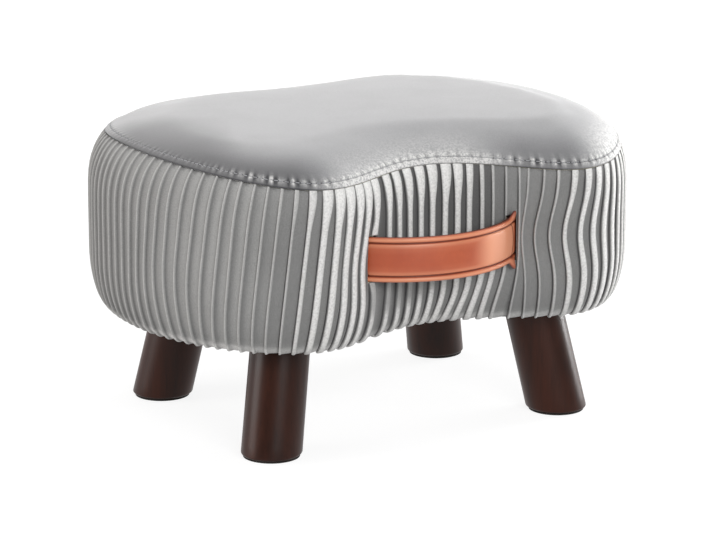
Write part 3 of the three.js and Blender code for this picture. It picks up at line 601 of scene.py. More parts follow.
# The strap's bow: a round arc whose ends lie this far under the cloth, and its straight tails
STRAP_HEIGHT = 150.5 * MM
STRAP_WIDTH = 33 * MM
STRAP_RADIUS = 87.2 * MM
STRAP_CENTRE = np.array([-8, -71]) * MM
STRAP_SUNK = 9.8 * MM
STRAP_TAIL = 37.68 * MM
SIDES = {-1: "left", 1: "right"}
SLIT_ANGLES = {-1: 0.722, 1: 0.796}

front_places = np.linspace(2, 54, 2601)
front_line = frames(front_places)[0]


def strap_point(side, angle):
    """Points of the bow on one side, at angles from its middle."""
    x = STRAP_CENTRE[0] + side * STRAP_RADIUS * np.sin(angle)
    return np.stack([x, STRAP_CENTRE[1] - STRAP_RADIUS * np.cos(angle)], -1)


def bow_angle(side):
    """Where the bow's end lies under the cloth's outline by the sunk depth."""
    angles = np.linspace(0.3, 1.3, 4001)
    points = strap_point(side, angles)
    front = np.interp(points[:, 0], front_line[:, 0], front_line[:, 1])
    return float(np.interp(STRAP_SUNK, points[:, 1] - front, angles))


BOW_ANGLES = {side: bow_angle(side) for side in SIDES}
SLIT_PLACES = [
    float(np.interp(strap_point(side, angle)[0], front_line[:, 0], front_places))
    for side, angle in SLIT_ANGLES.items()]

# Lean to the right with height on the left of the front, at places in pleats: pleats in 120 mm
LEAN_PLACES = (0, 6, 10, 16, 20, 22, 24)
LEAN_SHARES = (0, 0.35, 1.2, 1.2, 1.0, 0.6, 0)
LEAN_HEIGHT = 120 * MM
# How unevenly the pleats are laid along the front: each pleat's number and its shift in pleats
LAID_PLEATS = (0, 8, 12, 16, 19, 21.5, 22.2, 23, 24, 26, 28, 31, 34, 35)
LAID_SHIFTS = (0, -0.05, -0.25, -0.42, -0.6, -0.75, -0.7, -0.1, 0.25, 0.65, 0.8, 0.75, 0.45, 0)


# In the functions of the pleats, places are in pleats and z is a height in millimetres.
def crowding(place, height):
    """1 in the front waist, where pleats crowd and show fat folds, and less in the rear one."""
    low = 2.2 * (1 - smooth_step(height / MM, 125, 165))
    front = window(place, (14.9, 17.6), (29.0 + low, 33.0 + 0.5 * low))
    return np.maximum(front, 0.45 * window(place, (78, 81), (87, 90)))


def right_end(place):
    return window(place, (36.4, 38.6), (49, 54))


def standing(place):
    """1 where folds stand up as narrow ribs, at the left end and along the rear."""
    overlapped = window(place, (12, 15.5), (55, 58))
    return 1 - np.maximum(overlapped, window(place, (78, 81), (87, 90)))


def side_warp(place, height):
    """How far cloth at a place and height lies off its own pleat line, in pleats."""
    z = height / MM
    lean = np.interp(place, LEAN_PLACES, LEAN_SHARES) * (height - SIDE_MIDDLE) / LEAN_HEIGHT
    laid = np.interp(place, LAID_PLEATS, LAID_SHIFTS)
    lobe = window(place, (1, 5), (7, 11)) * hump(z - 140, 32)
    pinch = window(place, (17.5, 21.5), (22.1, 23)) * hump(z - 148, 26)
    bow = 0.12 + 0.003 * (z - 150) - 0.55 * hump(z - 153, 25)
    bow = bow * window(place, (34.4, 35.4), (38.6, 45.0))
    low = 1 - smooth_step(z, 82, 118 + 20 * smooth_step(place, 29, 32))
    pulled = 0.35 * window(place, (21, 23), (24, 27)) - 0.95 * window(place, (25, 31), (33.2, 34.9))
    return lean + laid - 0.35 * lobe - 0.4 * pinch + bow + low * pulled


def fold_width(place, height):
    """Width of the bright fold, in pleats."""
    z = height / MM
    near_seam = smooth_step(z, 176, 206)
    open_top = near_seam * window(place, (12.8, 18), (27.5, 31.5))
    right = right_end(place) * (0.30 + 0.12 * near_seam)
    squeezed = window(place, (36, 38), (39, 41)) * hump(z - 158, 26)
    return 0.11 + 0.30 * crowding(place, height) + 0.38 * open_top + right - 0.12 * squeezed


def highlight_strength(place, height):
    """How strong the fold's painted highlight is: faint lips on the lobes, and little of it just
    under the strap, where its painted shadow falls.
    """
    left = window(place, (14.6, 16.8), (27, 30))
    bright = np.maximum(np.maximum(crowding(place, height), left), right_end(place))
    start = 108 + 22 * smooth_step(place, 24, 30.5)
    shadow = window(height / MM, (start - 7, start + 5), (133, 136))
    shadow = shadow * window(place, (21.4, 22.2), (29.5, 32.0))
    return (0.28 + 0.72 * bright) * (1 - 0.88 * shadow)


def flat_shade(place, height):
    """How much painted shade darkens the flats."""
    above = 0.3 + 0.7 * smooth_step(height / MM, 116, 142)
    waist = window(place, (16, 20.5), (30.5, 34)) * np.maximum(above, place < 20.5)
    lobe = window(place, (10.5, 14.5), (60, 61))
    return np.maximum(0.3 * lobe, 0.72 * waist) + 0.28 * window(place, (38.5, 41), (49, 54))


jitter_side = rng.normal(0, 1, (PLEAT_COUNT, 4))


def pleat_jitter(index, v):
    """A small hand-made wander of each pleat, in pleats."""
    a, b, c, _ = jitter_side[index % PLEAT_COUNT].T
    return 0.028 * a * np.cos(np.pi * v / 3) + 0.022 * b * np.sin(np.pi * v / 3) + 0.012 * c


SIDE_ROWS = np.concatenate([
    [0.0, 0.04, 0.1, 0.2], np.linspace(0.3, 1.0, 7), np.linspace(1.12, 2.0, 14),
    np.linspace(2.08, 2.8, 10), [2.86, 2.91, 2.95, 2.98, 3.0]])
LINING_ROWS = (3.0, 2.93, 2.8, 2.6, 2.35, 2.1, 1.8, 1.5, 1.2, 1.0, 0.75, 0.5, 0.25, 0.1, 0.0)
LINING_GAP = 0.25 * MM
MARGIN_TOP = HEM_HEIGHT + PLEAT_DEPTH * 0.65 + CLOTH
PRESSED_REACH = 4 * MM


def depth_share(v):
    """The pleats are pressed flat at the seam and open out to full depth below it."""
    opened = 0.42 + 0.58 * smooth_step(v, 0.0, 0.55)
    return opened * (1 - 0.35 * smooth_step(v, 2.55, 3.0))


def pressed_in(place, height, depth):
    """Cloth is drawn down to its valleys where the strap goes in."""
    beyond = np.maximum(0, abs(height - STRAP_HEIGHT) - STRAP_WIDTH / 2)
    share = sum(hump(place - at, 0.30) for at in SLIT_PLACES) * hump(beyond, PRESSED_REACH)
    return depth + np.maximum(0, PLEAT_DEPTH - depth) * np.minimum(share, 1)


def pleat_row(pleat, step, owner, ends, v):
    """One row of the pleats: its points, and how much painted highlight and painted shade each gets.
    """
    height = side_profile(frames(pleat + 0.4)[0], v)[1]
    width = fold_width(pleat, height)
    edge = width - FLAT_OVERLAP
    on_flat = edge + (FLAT_END - edge) * SECTION_FLAT[step]
    on_fold = SECTION_PLACE[step] + SECTION_WIDTH[step] * width
    place = pleat + np.where(SECTION_FLAT[step] > 0, on_flat, on_fold)
    place = place + side_warp(owner, height) + pleat_jitter(owner.astype(int), v)
    place = np.clip(place, *ends)
    place[0], place[-1] = ends
    rib = standing(pleat)
    depth = SECTION_DEPTH[step] * (1 - rib) + RIB_DEPTH[step] * rib
    depth = depth * PLEAT_DEPTH * depth_share(v) * (1 + 0.12 * crowding(pleat, height))
    at, normal = frames(place)
    points = lift(at, normal, side_profile(at, v), pressed_in(place, height, depth))
    # Painted highlight on the folds and the hem's bend; painted shade in the tucks, near the seam
    # and on the flats
    painted_highlight = SECTION_HIGHLIGHT[step] * highlight_strength(pleat, height)
    tuck = SECTION_SHADE[step] * 0.9 * (1 - rib) + RIB_SHADE[step] * rib
    near_seam = 0.6 * (1 - smooth_step(v, 0.0, 0.14)) * (tuck > 0.1)
    shade = flat_shade(pleat, height) * (SECTION_HIGHLIGHT[step] == 0)
    painted_shade = np.maximum(np.maximum(tuck, near_seam), shade) * (1 - smooth_step(v, 2.9, 2.96))
    return points, np.maximum(painted_highlight, 0.8 * smooth_step(v, 2.6, 2.76)), painted_shade


def pleated_panel(name, first, last):
    pleat = np.append(np.repeat(np.arange(first, last, dtype=float), SECTION_STEPS), last)
    step = np.append(np.tile(np.arange(SECTION_STEPS), last - first), 0)
    # The last point of a pleat belongs to the next tuck, and moves with it
    owner = pleat + (step == SECTION_STEPS - 1)
    ends = (first - TUCK + JOIN_SHARE, last - TUCK - JOIN_SHARE)
    rows, painted_highlight, painted_shade = zip(*(pleat_row(pleat, step, owner, ends, v) for v in SIDE_ROWS))

    # The margin that is stapled under the base, and the lining
    at, normal = frames(np.linspace(*ends, len(pleat)))
    margin = at - normal * (HEM_INSET + STAPLE_MARGIN)
    hidden = [at_height(margin, height) for height in (MARGIN_TOP - CLOTH, MARGIN_TOP)]
    for v in LINING_ROWS:
        depth = PLEAT_DEPTH * 1.12 * depth_share(v) + LINING_GAP
        if v == LINING_ROWS[0]:
            depth = MARGIN_TOP - HEM_HEIGHT
        hidden.append(lift(at, normal, side_profile(at, v), depth))

    rows, columns = [*rows, *hidden], len(pleat)
    faces = grid_faces(len(rows), columns, wrap_rows=True)
    loop = np.arange(len(rows)) * columns
    faces += [loop.tolist()[::-1], (loop + columns - 1).tolist()]
    unseen = np.zeros(columns * len(hidden))
    masks = {"painted_highlight": np.concatenate([*painted_highlight, unseen]), "painted_shade": np.concatenate([*painted_shade, unseen])}
    points = np.concatenate(rows) + SHIFT
    return make_piece(name, points, faces, velvet_side, masks=masks)


front_side = pleated_panel("pleated_side_front", 0, PLEAT_COUNT // 2)
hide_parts("pleated_cover_front")
rear_side = pleated_panel("pleated_side_rear", PLEAT_COUNT // 2, PLEAT_COUNT)
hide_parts("pleated_cover_rear")

# Seat cover
COLUMNS_PER_PLEAT = 6
SEAM_GAP = 0.7 * MM
STITCH_LINE = 5.2 * MM
TOP_COLUMNS = PLEAT_COUNT * COLUMNS_PER_PLEAT
top_places = np.arange(TOP_COLUMNS) / COLUMNS_PER_PLEAT
top_at, top_normal = frames(top_places)
top_start = seam_angle(top_at) + SEAM_GAP / CROWN_INSET

# The cover puckers along the stitches in a mix of waves, each a count round the seat, a phase
# and a share.
PUCKER_WAVES = [
    (rng.integers(90, 240), rng.uniform(0, 2 * np.pi), rng.uniform(0.3, 1.0)) for _ in range(9)]
pucker = sum(
    share * np.sin(count * 2 * np.pi * top_places / PLEAT_COUNT + phase)
    for count, phase, share in PUCKER_WAVES)
pucker /= abs(pucker).max()

# Forms by the stitches, in mm: how proud, how far beyond the stitches, and how wide
SEAM_FORMS = {"band": (0.22, -2.6, 1.6), "groove": (-0.55, 0, 0.6), "roll": (0.15, 2.4, 1.9)}
RIPPLE_HEIGHT, RIPPLE_SPREAD = 0.55, 3.0
# Rows near the seam lie at fixed distances from it, and the rest share out what is left.
NEAR_DISTANCES = np.array([
    0, 0.5, 1.2, 2.0, 2.8, 3.6, 4.2, 4.7, 5.2, 5.7, 6.3, 7.1, 8.1, 9.4]) * MM
FAR_SHARES = np.linspace(0.1, 1.0, 10)
CAP_RINGS = 15
CAP_REACH = 0.97
CAP_RISE = 1.2 * MM
CAP_POWER = 2.6
# The seat's own middle line: its half length, and how far back its middle and its ends lie
MEDIAL_HALF = 108 * MM
MEDIAL_SHARE = 0.62
MEDIAL_BACK, MEDIAL_BEND = 17 * MM, 18 * MM


def medial(point):
    """The nearest place on the seat's own middle line."""
    x = np.clip(point[..., 0] * MEDIAL_SHARE, -MEDIAL_HALF, MEDIAL_HALF)
    return np.stack([x, MEDIAL_BACK - MEDIAL_BEND * (x / MEDIAL_HALF) ** 2], -1)


def seam_relief(distance):
    """How proud the cover stands at distances from the seam."""
    off = (distance - STITCH_LINE) / MM
    proud = sum(high * hump(off - middle, spread) for high, middle, spread in SEAM_FORMS.values())
    proud = proud + RIPPLE_HEIGHT * hump(off, RIPPLE_SPREAD) * pucker
    return proud * MM * smooth_step(distance, 0, 1 * MM)


def top_rows(depth, relief=True):
    """Rows of the cover or what lies under it at a depth, from the seam to near the middle."""
    angles = top_start + (CROWN_EDGE_ANGLE - top_start) * np.linspace(0, 1, 240)[:, None]
    lengths = running_length(np.stack(crown(angles)[:2], -1))
    whole, last = lengths[-1], NEAR_DISTANCES[-1]
    distances = [near + 0 * whole for near in NEAR_DISTANCES]
    distances += [last + (whole - last) * share for share in FAR_SHARES]
    rows = []
    for distance in distances:
        angle = np.array([
            np.interp(d, lengths[:, i], angles[:, i]) for i, d in enumerate(distance)])
        proud = seam_relief(distance) if relief else 0.0
        rows.append(lift(top_at, top_normal, crown(angle), depth - proud))
    edge, edge_height = rows[-1][:, :2], rows[-1][:, 2]
    rise = SHOULDER_HEIGHT + CROWN_RISE + CAP_RISE - depth - edge_height
    for share in CAP_REACH * np.arange(1, CAP_RINGS + 1) / CAP_RINGS:
        height = edge_height + rise * (1 - (1 - share) ** CAP_POWER)
        rows.append(at_height(edge + (medial(edge) - edge) * share, height))
    return np.array(rows)


def capped_faces(rows, columns, middle_x, start=0, flip=False):
    """Quads of rings, closed over the last ring by a strip between its front and rear halves."""
    faces = [face[::-1] for face in grid_faces(rows, columns, wrap_columns=True)]
    left, right = int(np.argmin(middle_x)), int(np.argmax(middle_x))
    front = [(left + i) % columns for i in range((right - left) % columns + 1)]
    rear = [(left - i) % columns for i in range((left - right) % columns + 1)]
    base = (rows - 1) * columns
    a = b = 0
    while a < len(front) - 1 or b < len(rear) - 1:
        ahead_front = middle_x[front[a + 1]] if a < len(front) - 1 else math.inf
        ahead_rear = middle_x[rear[b + 1]] if b < len(rear) - 1 else math.inf
        if ahead_front <= ahead_rear:
            faces.append([base + front[a], base + front[a + 1], base + rear[b]])
            a += 1
        else:
            faces.append([base + front[a], base + rear[b + 1], base + rear[b]])
            b += 1
    faces = [face for face in faces if len(set(face)) == len(face)]
    return [[start + i for i in (face[::-1] if flip else face)] for face in faces]


COVER_PRESSURE = 4.0
SETTLE_FRAMES = 20
SETTLE_CAP = 1.6 * MM
SETTLE_BLUR = 14
SETTLE_EVERY = 3
SETTLE_NEAR_ROWS = [0, 4, 8, 11]
SETTLE_FIRST_FAR_ROW = 13


def simulated_moves(points, faces, held_count):
    """How far each point moves when the mesh is blown up as cloth, with its first points held."""
    mesh = plain_mesh("settling", points, faces)
    mesh.update()
    piece = linked("settling", mesh)
    piece.vertex_groups.new(name="held").add(list(range(held_count)), 1.0, "REPLACE")
    modifier = piece.modifiers.new("cloth", "CLOTH")
    settings = modifier.settings
    settings.use_pressure = True
    settings.uniform_pressure_force = COVER_PRESSURE
    settings.vertex_group_mass = "held"
    settings.effector_weights.gravity = 0
    settings.quality = 6
    modifier.point_cache.frame_start = 1
    modifier.point_cache.frame_end = SETTLE_FRAMES
    for number in range(1, SETTLE_FRAMES + 1):
        scene.frame_set(number)
    settled = piece.evaluated_get(bpy.context.evaluated_depsgraph_get())
    moves = values_of(settled.to_mesh().vertices, "co", 3) - points
    settled.to_mesh_clear()
    bpy.data.objects.remove(piece)
    scene.frame_set(1)
    return moves


def settle_cover(rows):
    """Blows the cover up a little as cloth, held along its stitch line. Returns the moves."""
    keep = [*SETTLE_NEAR_ROWS, *range(SETTLE_FIRST_FAR_ROW, len(rows))]
    coarse = rows[keep, ::SETTLE_EVERY]
    count = coarse.shape[1]
    faces = capped_faces(len(keep), count, MIDDLE_X[::SETTLE_EVERY])
    moves = simulated_moves(coarse.reshape(-1, 3), faces, 3 * count)
    size = np.linalg.norm(moves, axis=1, keepdims=True)
    moves *= np.minimum(1, SETTLE_CAP / np.maximum(size, 1e-9))
    moves = moves.reshape(len(keep), count, 3)
    every_row, every_column = np.arange(len(rows)), np.arange(TOP_COLUMNS)
    moves = np.apply_along_axis(lambda line: np.interp(every_row, keep, line), 0, moves)
    ring = np.arange(count + 1) * SETTLE_EVERY
    moves = np.append(moves, moves[:, :1], axis=1)
    moves = np.apply_along_axis(lambda line: np.interp(every_column, ring, line), 1, moves)
    # Evened out along the rings, so that no crease stays in the stretched cloth
    reach = np.arange(-3 * SETTLE_BLUR, 3 * SETTLE_BLUR + 1)
    weights = hump(reach, SETTLE_BLUR)
    return sum(w * np.roll(moves, k, axis=1) for w, k in zip(weights / weights.sum(), reach))


outer_rows = top_rows(0.0)
MIDDLE_X = outer_rows[-1][:, 0]
settling = settle_cover(outer_rows)
outer_rows = outer_rows + settling
LAST_ROW = len(outer_rows) - 1
lining_keep = sorted({0, 4, 8, 12, 15, 18, 21, *range(23, LAST_ROW, 3), LAST_ROW})
lining_rows = (top_rows(CLOTH, relief=False) + settling)[lining_keep]
# The lining's rows near the stitches stay clear of their groove
LINING_DROP = 0.35 * MM
lining_rows[1:4, :, 2] -= LINING_DROP

# How far the cover's painted highlight and painted shade reach from the stitches or the seam
STITCH_SHADOW = 0.5 * MM
SEAM_SHADOW = 0.9 * MM
CRUMPLE_REACH = 3.2 * MM
WAIST_HIGHLIGHT_REACH = 6.5 * MM
SHOULDER_START, SHOULDER_REACH, SHOULDER_EXTRA = 4 * MM, 42 * MM, 45 * MM


def cover_shading():
    """How much painted highlight and how much painted shade each point of the cover gets."""
    around = (top_places + 0.5 * PLEAT_COUNT) % PLEAT_COUNT - 0.5 * PLEAT_COUNT
    waist = window(top_places, (15.5, 20), (31, 35))
    crumpled = 0.3 + 0.7 * window(top_places, (7, 13), (46, 50))
    # Painted shade on the shoulder from the left end to the front left and on the right lobe's front
    dark = 0.78 * window(around, (-9, -2), (15, 19.5))
    dark += 0.5 * window(around, (31.5, 35), (37.5, 41))
    # Painted light on the waist's shoulder and on the right end's shoulder
    light = 0.35 * window(around, (17, 21), (30, 33))
    light += 0.85 * window(top_places, (38.5, 43), (60, 66))
    reach = SHOULDER_REACH + SHOULDER_EXTRA * window(around, (-12, -3), (5, 11))
    distance = running_length(outer_rows)
    off = distance - STITCH_LINE
    band = hump(off, CRUMPLE_REACH) * crumpled
    waist_highlight = waist * hump(distance, WAIST_HIGHLIGHT_REACH)
    shoulder = 1 - smooth_step(distance, SHOULDER_START, reach)
    # Painted highlight on lifted puckers, the waist's seam and the lit shoulders; painted shade
    # along the stitches and the seam, in sunken puckers and on the shaded shoulders
    painted_highlight = band * (0.3 + 1.5 * np.clip(pucker, 0, 1)) + 0.75 * waist_highlight + light * shoulder
    painted_highlight = np.minimum(painted_highlight, 1)
    painted_shade = 0.75 * hump(off, STITCH_SHADOW) + 1.3 * band * np.clip(-pucker, 0, 1)
    painted_shade += 0.45 * (1 - smooth_step(distance, 0, SEAM_SHADOW))
    return painted_highlight, painted_shade * (1 - 0.7 * waist_highlight) + dark * shoulder * (1 - painted_highlight)


def seat_cover():
    points = np.concatenate([outer_rows, lining_rows]).reshape(-1, 3) + SHIFT
    first = outer_rows[..., 0].size
    faces = capped_faces(len(outer_rows), TOP_COLUMNS, MIDDLE_X)
    faces += capped_faces(len(lining_rows), TOP_COLUMNS, MIDDLE_X, start=first, flip=True)
    ring = np.arange(TOP_COLUMNS)
    ahead = np.roll(ring, -1)
    faces += np.stack([ahead, ring, first + ring, first + ahead], -1).tolist()
    unseen = np.zeros(len(points) - first)
    painted_highlight, painted_shade = (np.append(shade, unseen) for shade in cover_shading())
    masks = {"painted_highlight": painted_highlight, "painted_shade": painted_shade}
    return make_piece("top_cushion", points, faces, velvet_top, masks=masks)


top_cushion = seat_cover()
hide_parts("top_cover")

STITCH_ROW = 8
STITCH_PITCH, STITCH_LENGTH = 3.9 * MM, 3.1 * MM
STITCH_RADIUS, STITCH_PROUD = 0.32 * MM, 0.12 * MM
# Half of a stitch, along it and out from its middle, in shares of its length and radius
STITCH_END = ((-0.5, 0.0), (-0.47, 0.6), (-0.38, 1.0))


def top_stitching():
    start = [(radius * STITCH_RADIUS, x * STITCH_LENGTH) for x, radius in STITCH_END]
    form, faces = lathe([*start, *((radius, -x) for radius, x in start[::-1])], 8)
    line = looped(outer_rows[STITCH_ROW] + [0, 0, STITCH_PROUD])
    count = round(running_length(line)[-1] / STITCH_PITCH)
    points, faces = spread_along(line, count, STITCH_LENGTH, form[:, [2, 0, 1]], faces)
    fix_normals(make_piece("top_stitching", points + SHIFT, faces, thread))


top_stitching()

# Strap
BACKING_GAP = 0.3 * MM
BACKING = 1.6 * MM
BACKING_HALF = STRAP_WIDTH / 2 - 0.4 * MM
BACKING_ROUNDING = 0.3 * MM
# Half of the face's section: across the width, and out from the line between face and lining
STRAP_SECTION = np.array([
    (0, 2.75), (4, 2.72), (8, 2.62), (10.2, 2.48), (11.1, 2.25), (11.6, 1.8), (11.9, 1.3),
    (12.2, 1.15), (12.5, 1.45), (12.8, 2.05), (13.3, 2.55), (13.9, 2.82), (14.6, 2.9),
    (15.3, 2.78), (15.9, 2.4), (16.3, 1.85), (16.5, 1.2), (16.35, 0.5), (15.9, 0.1),
    (14.5, 0), (8, 0), (0, 0)]) * MM
# At each point of the section: painted highlight on the lips, and painted shade in the grooves and
# under the edges
STRAP_HIGHLIGHT = np.array([
    0, 0, 0.1, 0.5, 0.6, 0.2, 0, 0, 0, 0.2, 0.5, 0.8, 0.9, 0.7, 0.4, 0.1, 0, 0, 0, 0, 0, 0])
STRAP_SHADE = np.array([
    0, 0, 0, 0, 0, 0.35, 0.9, 1.0, 0.8, 0.25, 0, 0, 0, 0, 0, 0.2, 0.6, 0.9, 0.9, 0.6, 0.4, 0.4])
# The strap's right end flares before its slit, and its corners get painted shade
FLARE = 5.5 * MM
FLARE_BEFORE, FLARE_SPREAD = 4 * MM, 3.2 * MM
CORNER_BEFORE, CORNER_SPREAD = 2 * MM, 4.6 * MM
LIPS = (11.5 * MM, 16.5 * MM)
SLIT_SHADOW = (1 * MM, 5 * MM)
PANEL_HALF = 12 * MM
# A rounded line of painted shade marks the raised panel's end near each slit: how far outside the
# cloth
PANEL_ENDS = {-1: -5 * MM, 1: 2.6 * MM}
PANEL_ROUNDING, PANEL_LINE = 3.6 * MM, 0.8 * MM
# Where a painted highlight lies on the panel: how far right of the bow's middle that starts and ends
HIGHLIGHT_PATCH = ((10 * MM, 34 * MM), (66 * MM, 72 * MM))
# The last part of each side of the bow, where places lie closer together
BOW_END = 18 * MM


def by_side(place, values):
    return np.where(place < 0, values[-1], values[1])


def side_places(side):
    arc = STRAP_RADIUS * BOW_ANGLES[side]
    parts = ((0, arc - BOW_END, 44), (arc - BOW_END, arc, 31), (arc, arc + STRAP_TAIL, 12))
    return np.concatenate([np.linspace(*part)[1:] for part in parts])


strap_places = np.concatenate([-side_places(-1)[::-1], [0], side_places(1)])
inwards = (abs(strap_places) - STRAP_RADIUS * by_side(strap_places, SLIT_ANGLES))[:, None]
on_right = (strap_places > 0)[:, None]


def strap_frame(place):
    """Points and outward directions at places along the strap, from the bow's middle."""
    side = np.where(place < 0, -1.0, 1.0)
    angle = np.minimum(abs(place) / STRAP_RADIUS, by_side(place, BOW_ANGLES))
    beyond = abs(place) - STRAP_RADIUS * angle
    ahead = np.stack([side * np.cos(angle), np.sin(angle)], -1)
    out = np.stack([side * np.sin(angle), -np.cos(angle), 0 * angle], -1)
    return at_height(strap_point(side, angle) + ahead * beyond[:, None], STRAP_HEIGHT), out


def mirrored(half, sign=1.0):
    return np.concatenate([half, sign * half[-2:0:-1]])


def strap_piece(name, half_section, material, masks=None, flare=0.0):
    """A band swept along the strap's line, from half of its section in (across, out) pairs."""
    point, out = strap_frame(strap_places)
    across, proud = mirrored(half_section[:, 0], -1.0), mirrored(half_section[:, 1])
    lips = smooth_step(abs(across), *LIPS)
    flared = lips * hump(inwards + FLARE_BEFORE, FLARE_SPREAD) * on_right * flare
    wide = across + np.sign(across) * flared
    points = point[:, None] + out[:, None] * (proud + flared * 0.5)[..., None]
    points[..., 2] += wide
    rows, columns = wide.shape
    faces = grid_faces(rows, columns, wrap_columns=True)
    faces += [list(range(columns)), list(range(rows * columns - 1, (rows - 1) * columns - 1, -1))]
    points = points.reshape(-1, 3) + SHIFT
    piece = make_piece(name, points, faces, material, masks=masks)
    fix_normals(piece)
    return piece


def leather_masks():
    """Where the leather gets painted highlight, and where painted shade: grooves, corners, slits and
    the panel's ends.
    """
    across = mirrored(STRAP_SECTION[:, 0], -1.0)
    on_panel = abs(across) < PANEL_HALF
    corner = smooth_step(abs(across), *LIPS) * on_right
    corner = corner * hump(inwards + CORNER_BEFORE, CORNER_SPREAD)
    rounded = inwards + by_side(strap_places, PANEL_ENDS)[:, None]
    line = hump(rounded + PANEL_ROUNDING * (across / PANEL_HALF) ** 2, PANEL_LINE) * on_panel
    # Painted highlight on the panel's right part, and painted shade at the corners, the slits and
    # the panel's end
    highlight_patch = window(strap_places, *HIGHLIGHT_PATCH)[:, None] * on_panel * (1 - line)
    painted_highlight = np.maximum(mirrored(STRAP_HIGHLIGHT), highlight_patch) * (1 - corner)
    painted_shade = mirrored(STRAP_SHADE) + 0.9 * corner + 0.8 * smooth_step(inwards, *SLIT_SHADOW)
    painted_shade = painted_shade + 0.9 * line
    return {"painted_highlight": np.clip(painted_highlight, 0, 1).ravel(), "painted_shade": np.clip(painted_shade, 0, 1).ravel()}


carry_strap = strap_piece(
    "carry_strap", STRAP_SECTION, leather, masks=leather_masks(), flare=FLARE)
BACKING_FACE, BACKING_BACK = -BACKING_GAP, -BACKING_GAP - BACKING
BACKING_SECTION = np.array([
    (0, BACKING_FACE), (BACKING_HALF - BACKING_ROUNDING, BACKING_FACE),
    (BACKING_HALF, BACKING_FACE - BACKING_ROUNDING),
    (BACKING_HALF, BACKING_BACK + BACKING_ROUNDING),
    (BACKING_HALF - BACKING_ROUNDING, BACKING_BACK), (0, BACKING_BACK)])
strap_lining = strap_piece("strap_lining", BACKING_SECTION, webbing)


# Slits, and what else is cut away
def cutter(points, faces):
    piece = linked("cutter", plain_mesh("cutter", points, faces))
    fix_normals(piece)
    return piece


def rod(start, end, radius, sides=24):
    ahead = (end - start) / np.linalg.norm(end - start)
    side = np.cross(ahead, [0, 0, 1]) if abs(ahead[2]) < 0.9 else np.cross(ahead, [1, 0, 0])
    side /= np.linalg.norm(side)
    turn = np.linspace(0, 2 * np.pi, sides, endpoint=False)
    ring = np.outer(np.cos(turn), side) + np.outer(np.sin(turn), np.cross(ahead, side))
    faces = grid_faces(2, sides, wrap_columns=True)
    faces += [list(range(sides)), list(range(2 * sides - 1, sides - 1, -1))]
    return np.concatenate([start + ring * radius, end + ring * radius]), faces


def block(low, high):
    points = [
        (x, y, z) for x in (low[0], high[0]) for y in (low[1], high[1])
        for z in (low[2], high[2])]
    faces = [[0, 1, 3, 2], [4, 6, 7, 5], [0, 4, 5, 1], [2, 3, 7, 6], [0, 2, 6, 4], [1, 5, 7, 3]]
    return np.array(points, float), faces


def cut_away(piece, tools):
    """Cuts tools out of a piece, and carries its masks over by the nearest point."""
    before = values_of(piece.data.vertices, "co", 3)
    masks = {
        key: values_of(piece.data.attributes[key].data, "value")
        for key in ("painted_highlight", "painted_shade") if key in piece.data.attributes}
    for tool in tools:
        modifier = piece.modifiers.new("cut", "BOOLEAN")
        modifier.operation = "DIFFERENCE"
        modifier.solver = "MANIFOLD"
        modifier.object = tool
    apply_modifiers(piece)
    if masks:
        tree = KDTree(len(before))
        for i, point in enumerate(before):
            tree.insert(point, i)
        tree.balance()
        near = [tree.find(vertex.co)[1] for vertex in piece.data.vertices]
        for key, values in masks.items():
            set_mask(piece.data, key, values[near])
    piece.data.polygons.foreach_set("use_smooth", [True] * len(piece.data.polygons))


SLIT_CLEARANCE = 0.8 * MM
SLIT_LEAD = 14.2 * MM
CLAMP_HOLE = 1.9 * MM
CLAMP_REACH = 15 * MM


def tail_frame(side):
    """Directions along and inwards from one tail, and the point where it starts."""
    angle = BOW_ANGLES[side]
    ahead = np.array([side * math.cos(angle), math.sin(angle), 0])
    inward = np.array([-side * math.sin(angle), math.cos(angle), 0])
    return ahead, inward, np.array([*strap_point(side, angle), STRAP_HEIGHT])


def slit_cutter(side):
    """A straight slot along one tail, from outside the cloth to the tail's end."""
    outer = STRAP_SECTION[:, 1].max() + SLIT_CLEARANCE
    inner = BACKING_GAP + BACKING + SLIT_CLEARANCE + SLIT_LEAD ** 2 / (2 * STRAP_RADIUS)
    half = STRAP_WIDTH / 2 + SLIT_CLEARANCE
    points, faces = block((-SLIT_LEAD, -outer, -half), (STRAP_TAIL, inner, half))
    ahead, inward, start = tail_frame(side)
    return cutter(start + points @ np.array([ahead, inward, [0, 0, 1]]) + SHIFT, faces)


def clamp_cutter(side, level):
    """A hole for a clamp screw through both bands."""
    middle = middle_of(f"clamp_screw_{SIDES[side]}_{level}")
    reach = tail_frame(side)[1] * CLAMP_REACH
    return cutter(*rod(middle - reach, middle + reach, CLAMP_HOLE))


slit_tools = [slit_cutter(side) for side in SIDES]
clamp_tools = [clamp_cutter(side, level) for side in SIDES for level in ("lower", "upper")]
cut_away(front_side, slit_tools)
cut_away(carry_strap, clamp_tools)
cut_away(strap_lining, clamp_tools)

# Foam
PADDING_DEPTH = 4.5 * MM
PADDING_BACK = 18.7 * MM
HEM_SQUEEZE = 1.43 * MM
SEAT_FOAM_GAP = 1.0 * MM
SEAT_FOAM_EVERY = 4
SEAM_BULGE = 0.6 * MM
foam_at, foam_normal = frames(np.arange(PLEAT_COUNT * 2) / 2)


def crown_angle(height):
    return np.arcsin(np.clip((height - SHOULDER_HEIGHT) / CROWN_RISE, 0, 1) ** (1 / CROWN_POWER))


SPLIT_ANGLE = crown_angle(SEAT_BOARD_TOP + FIT_GAP / 2)


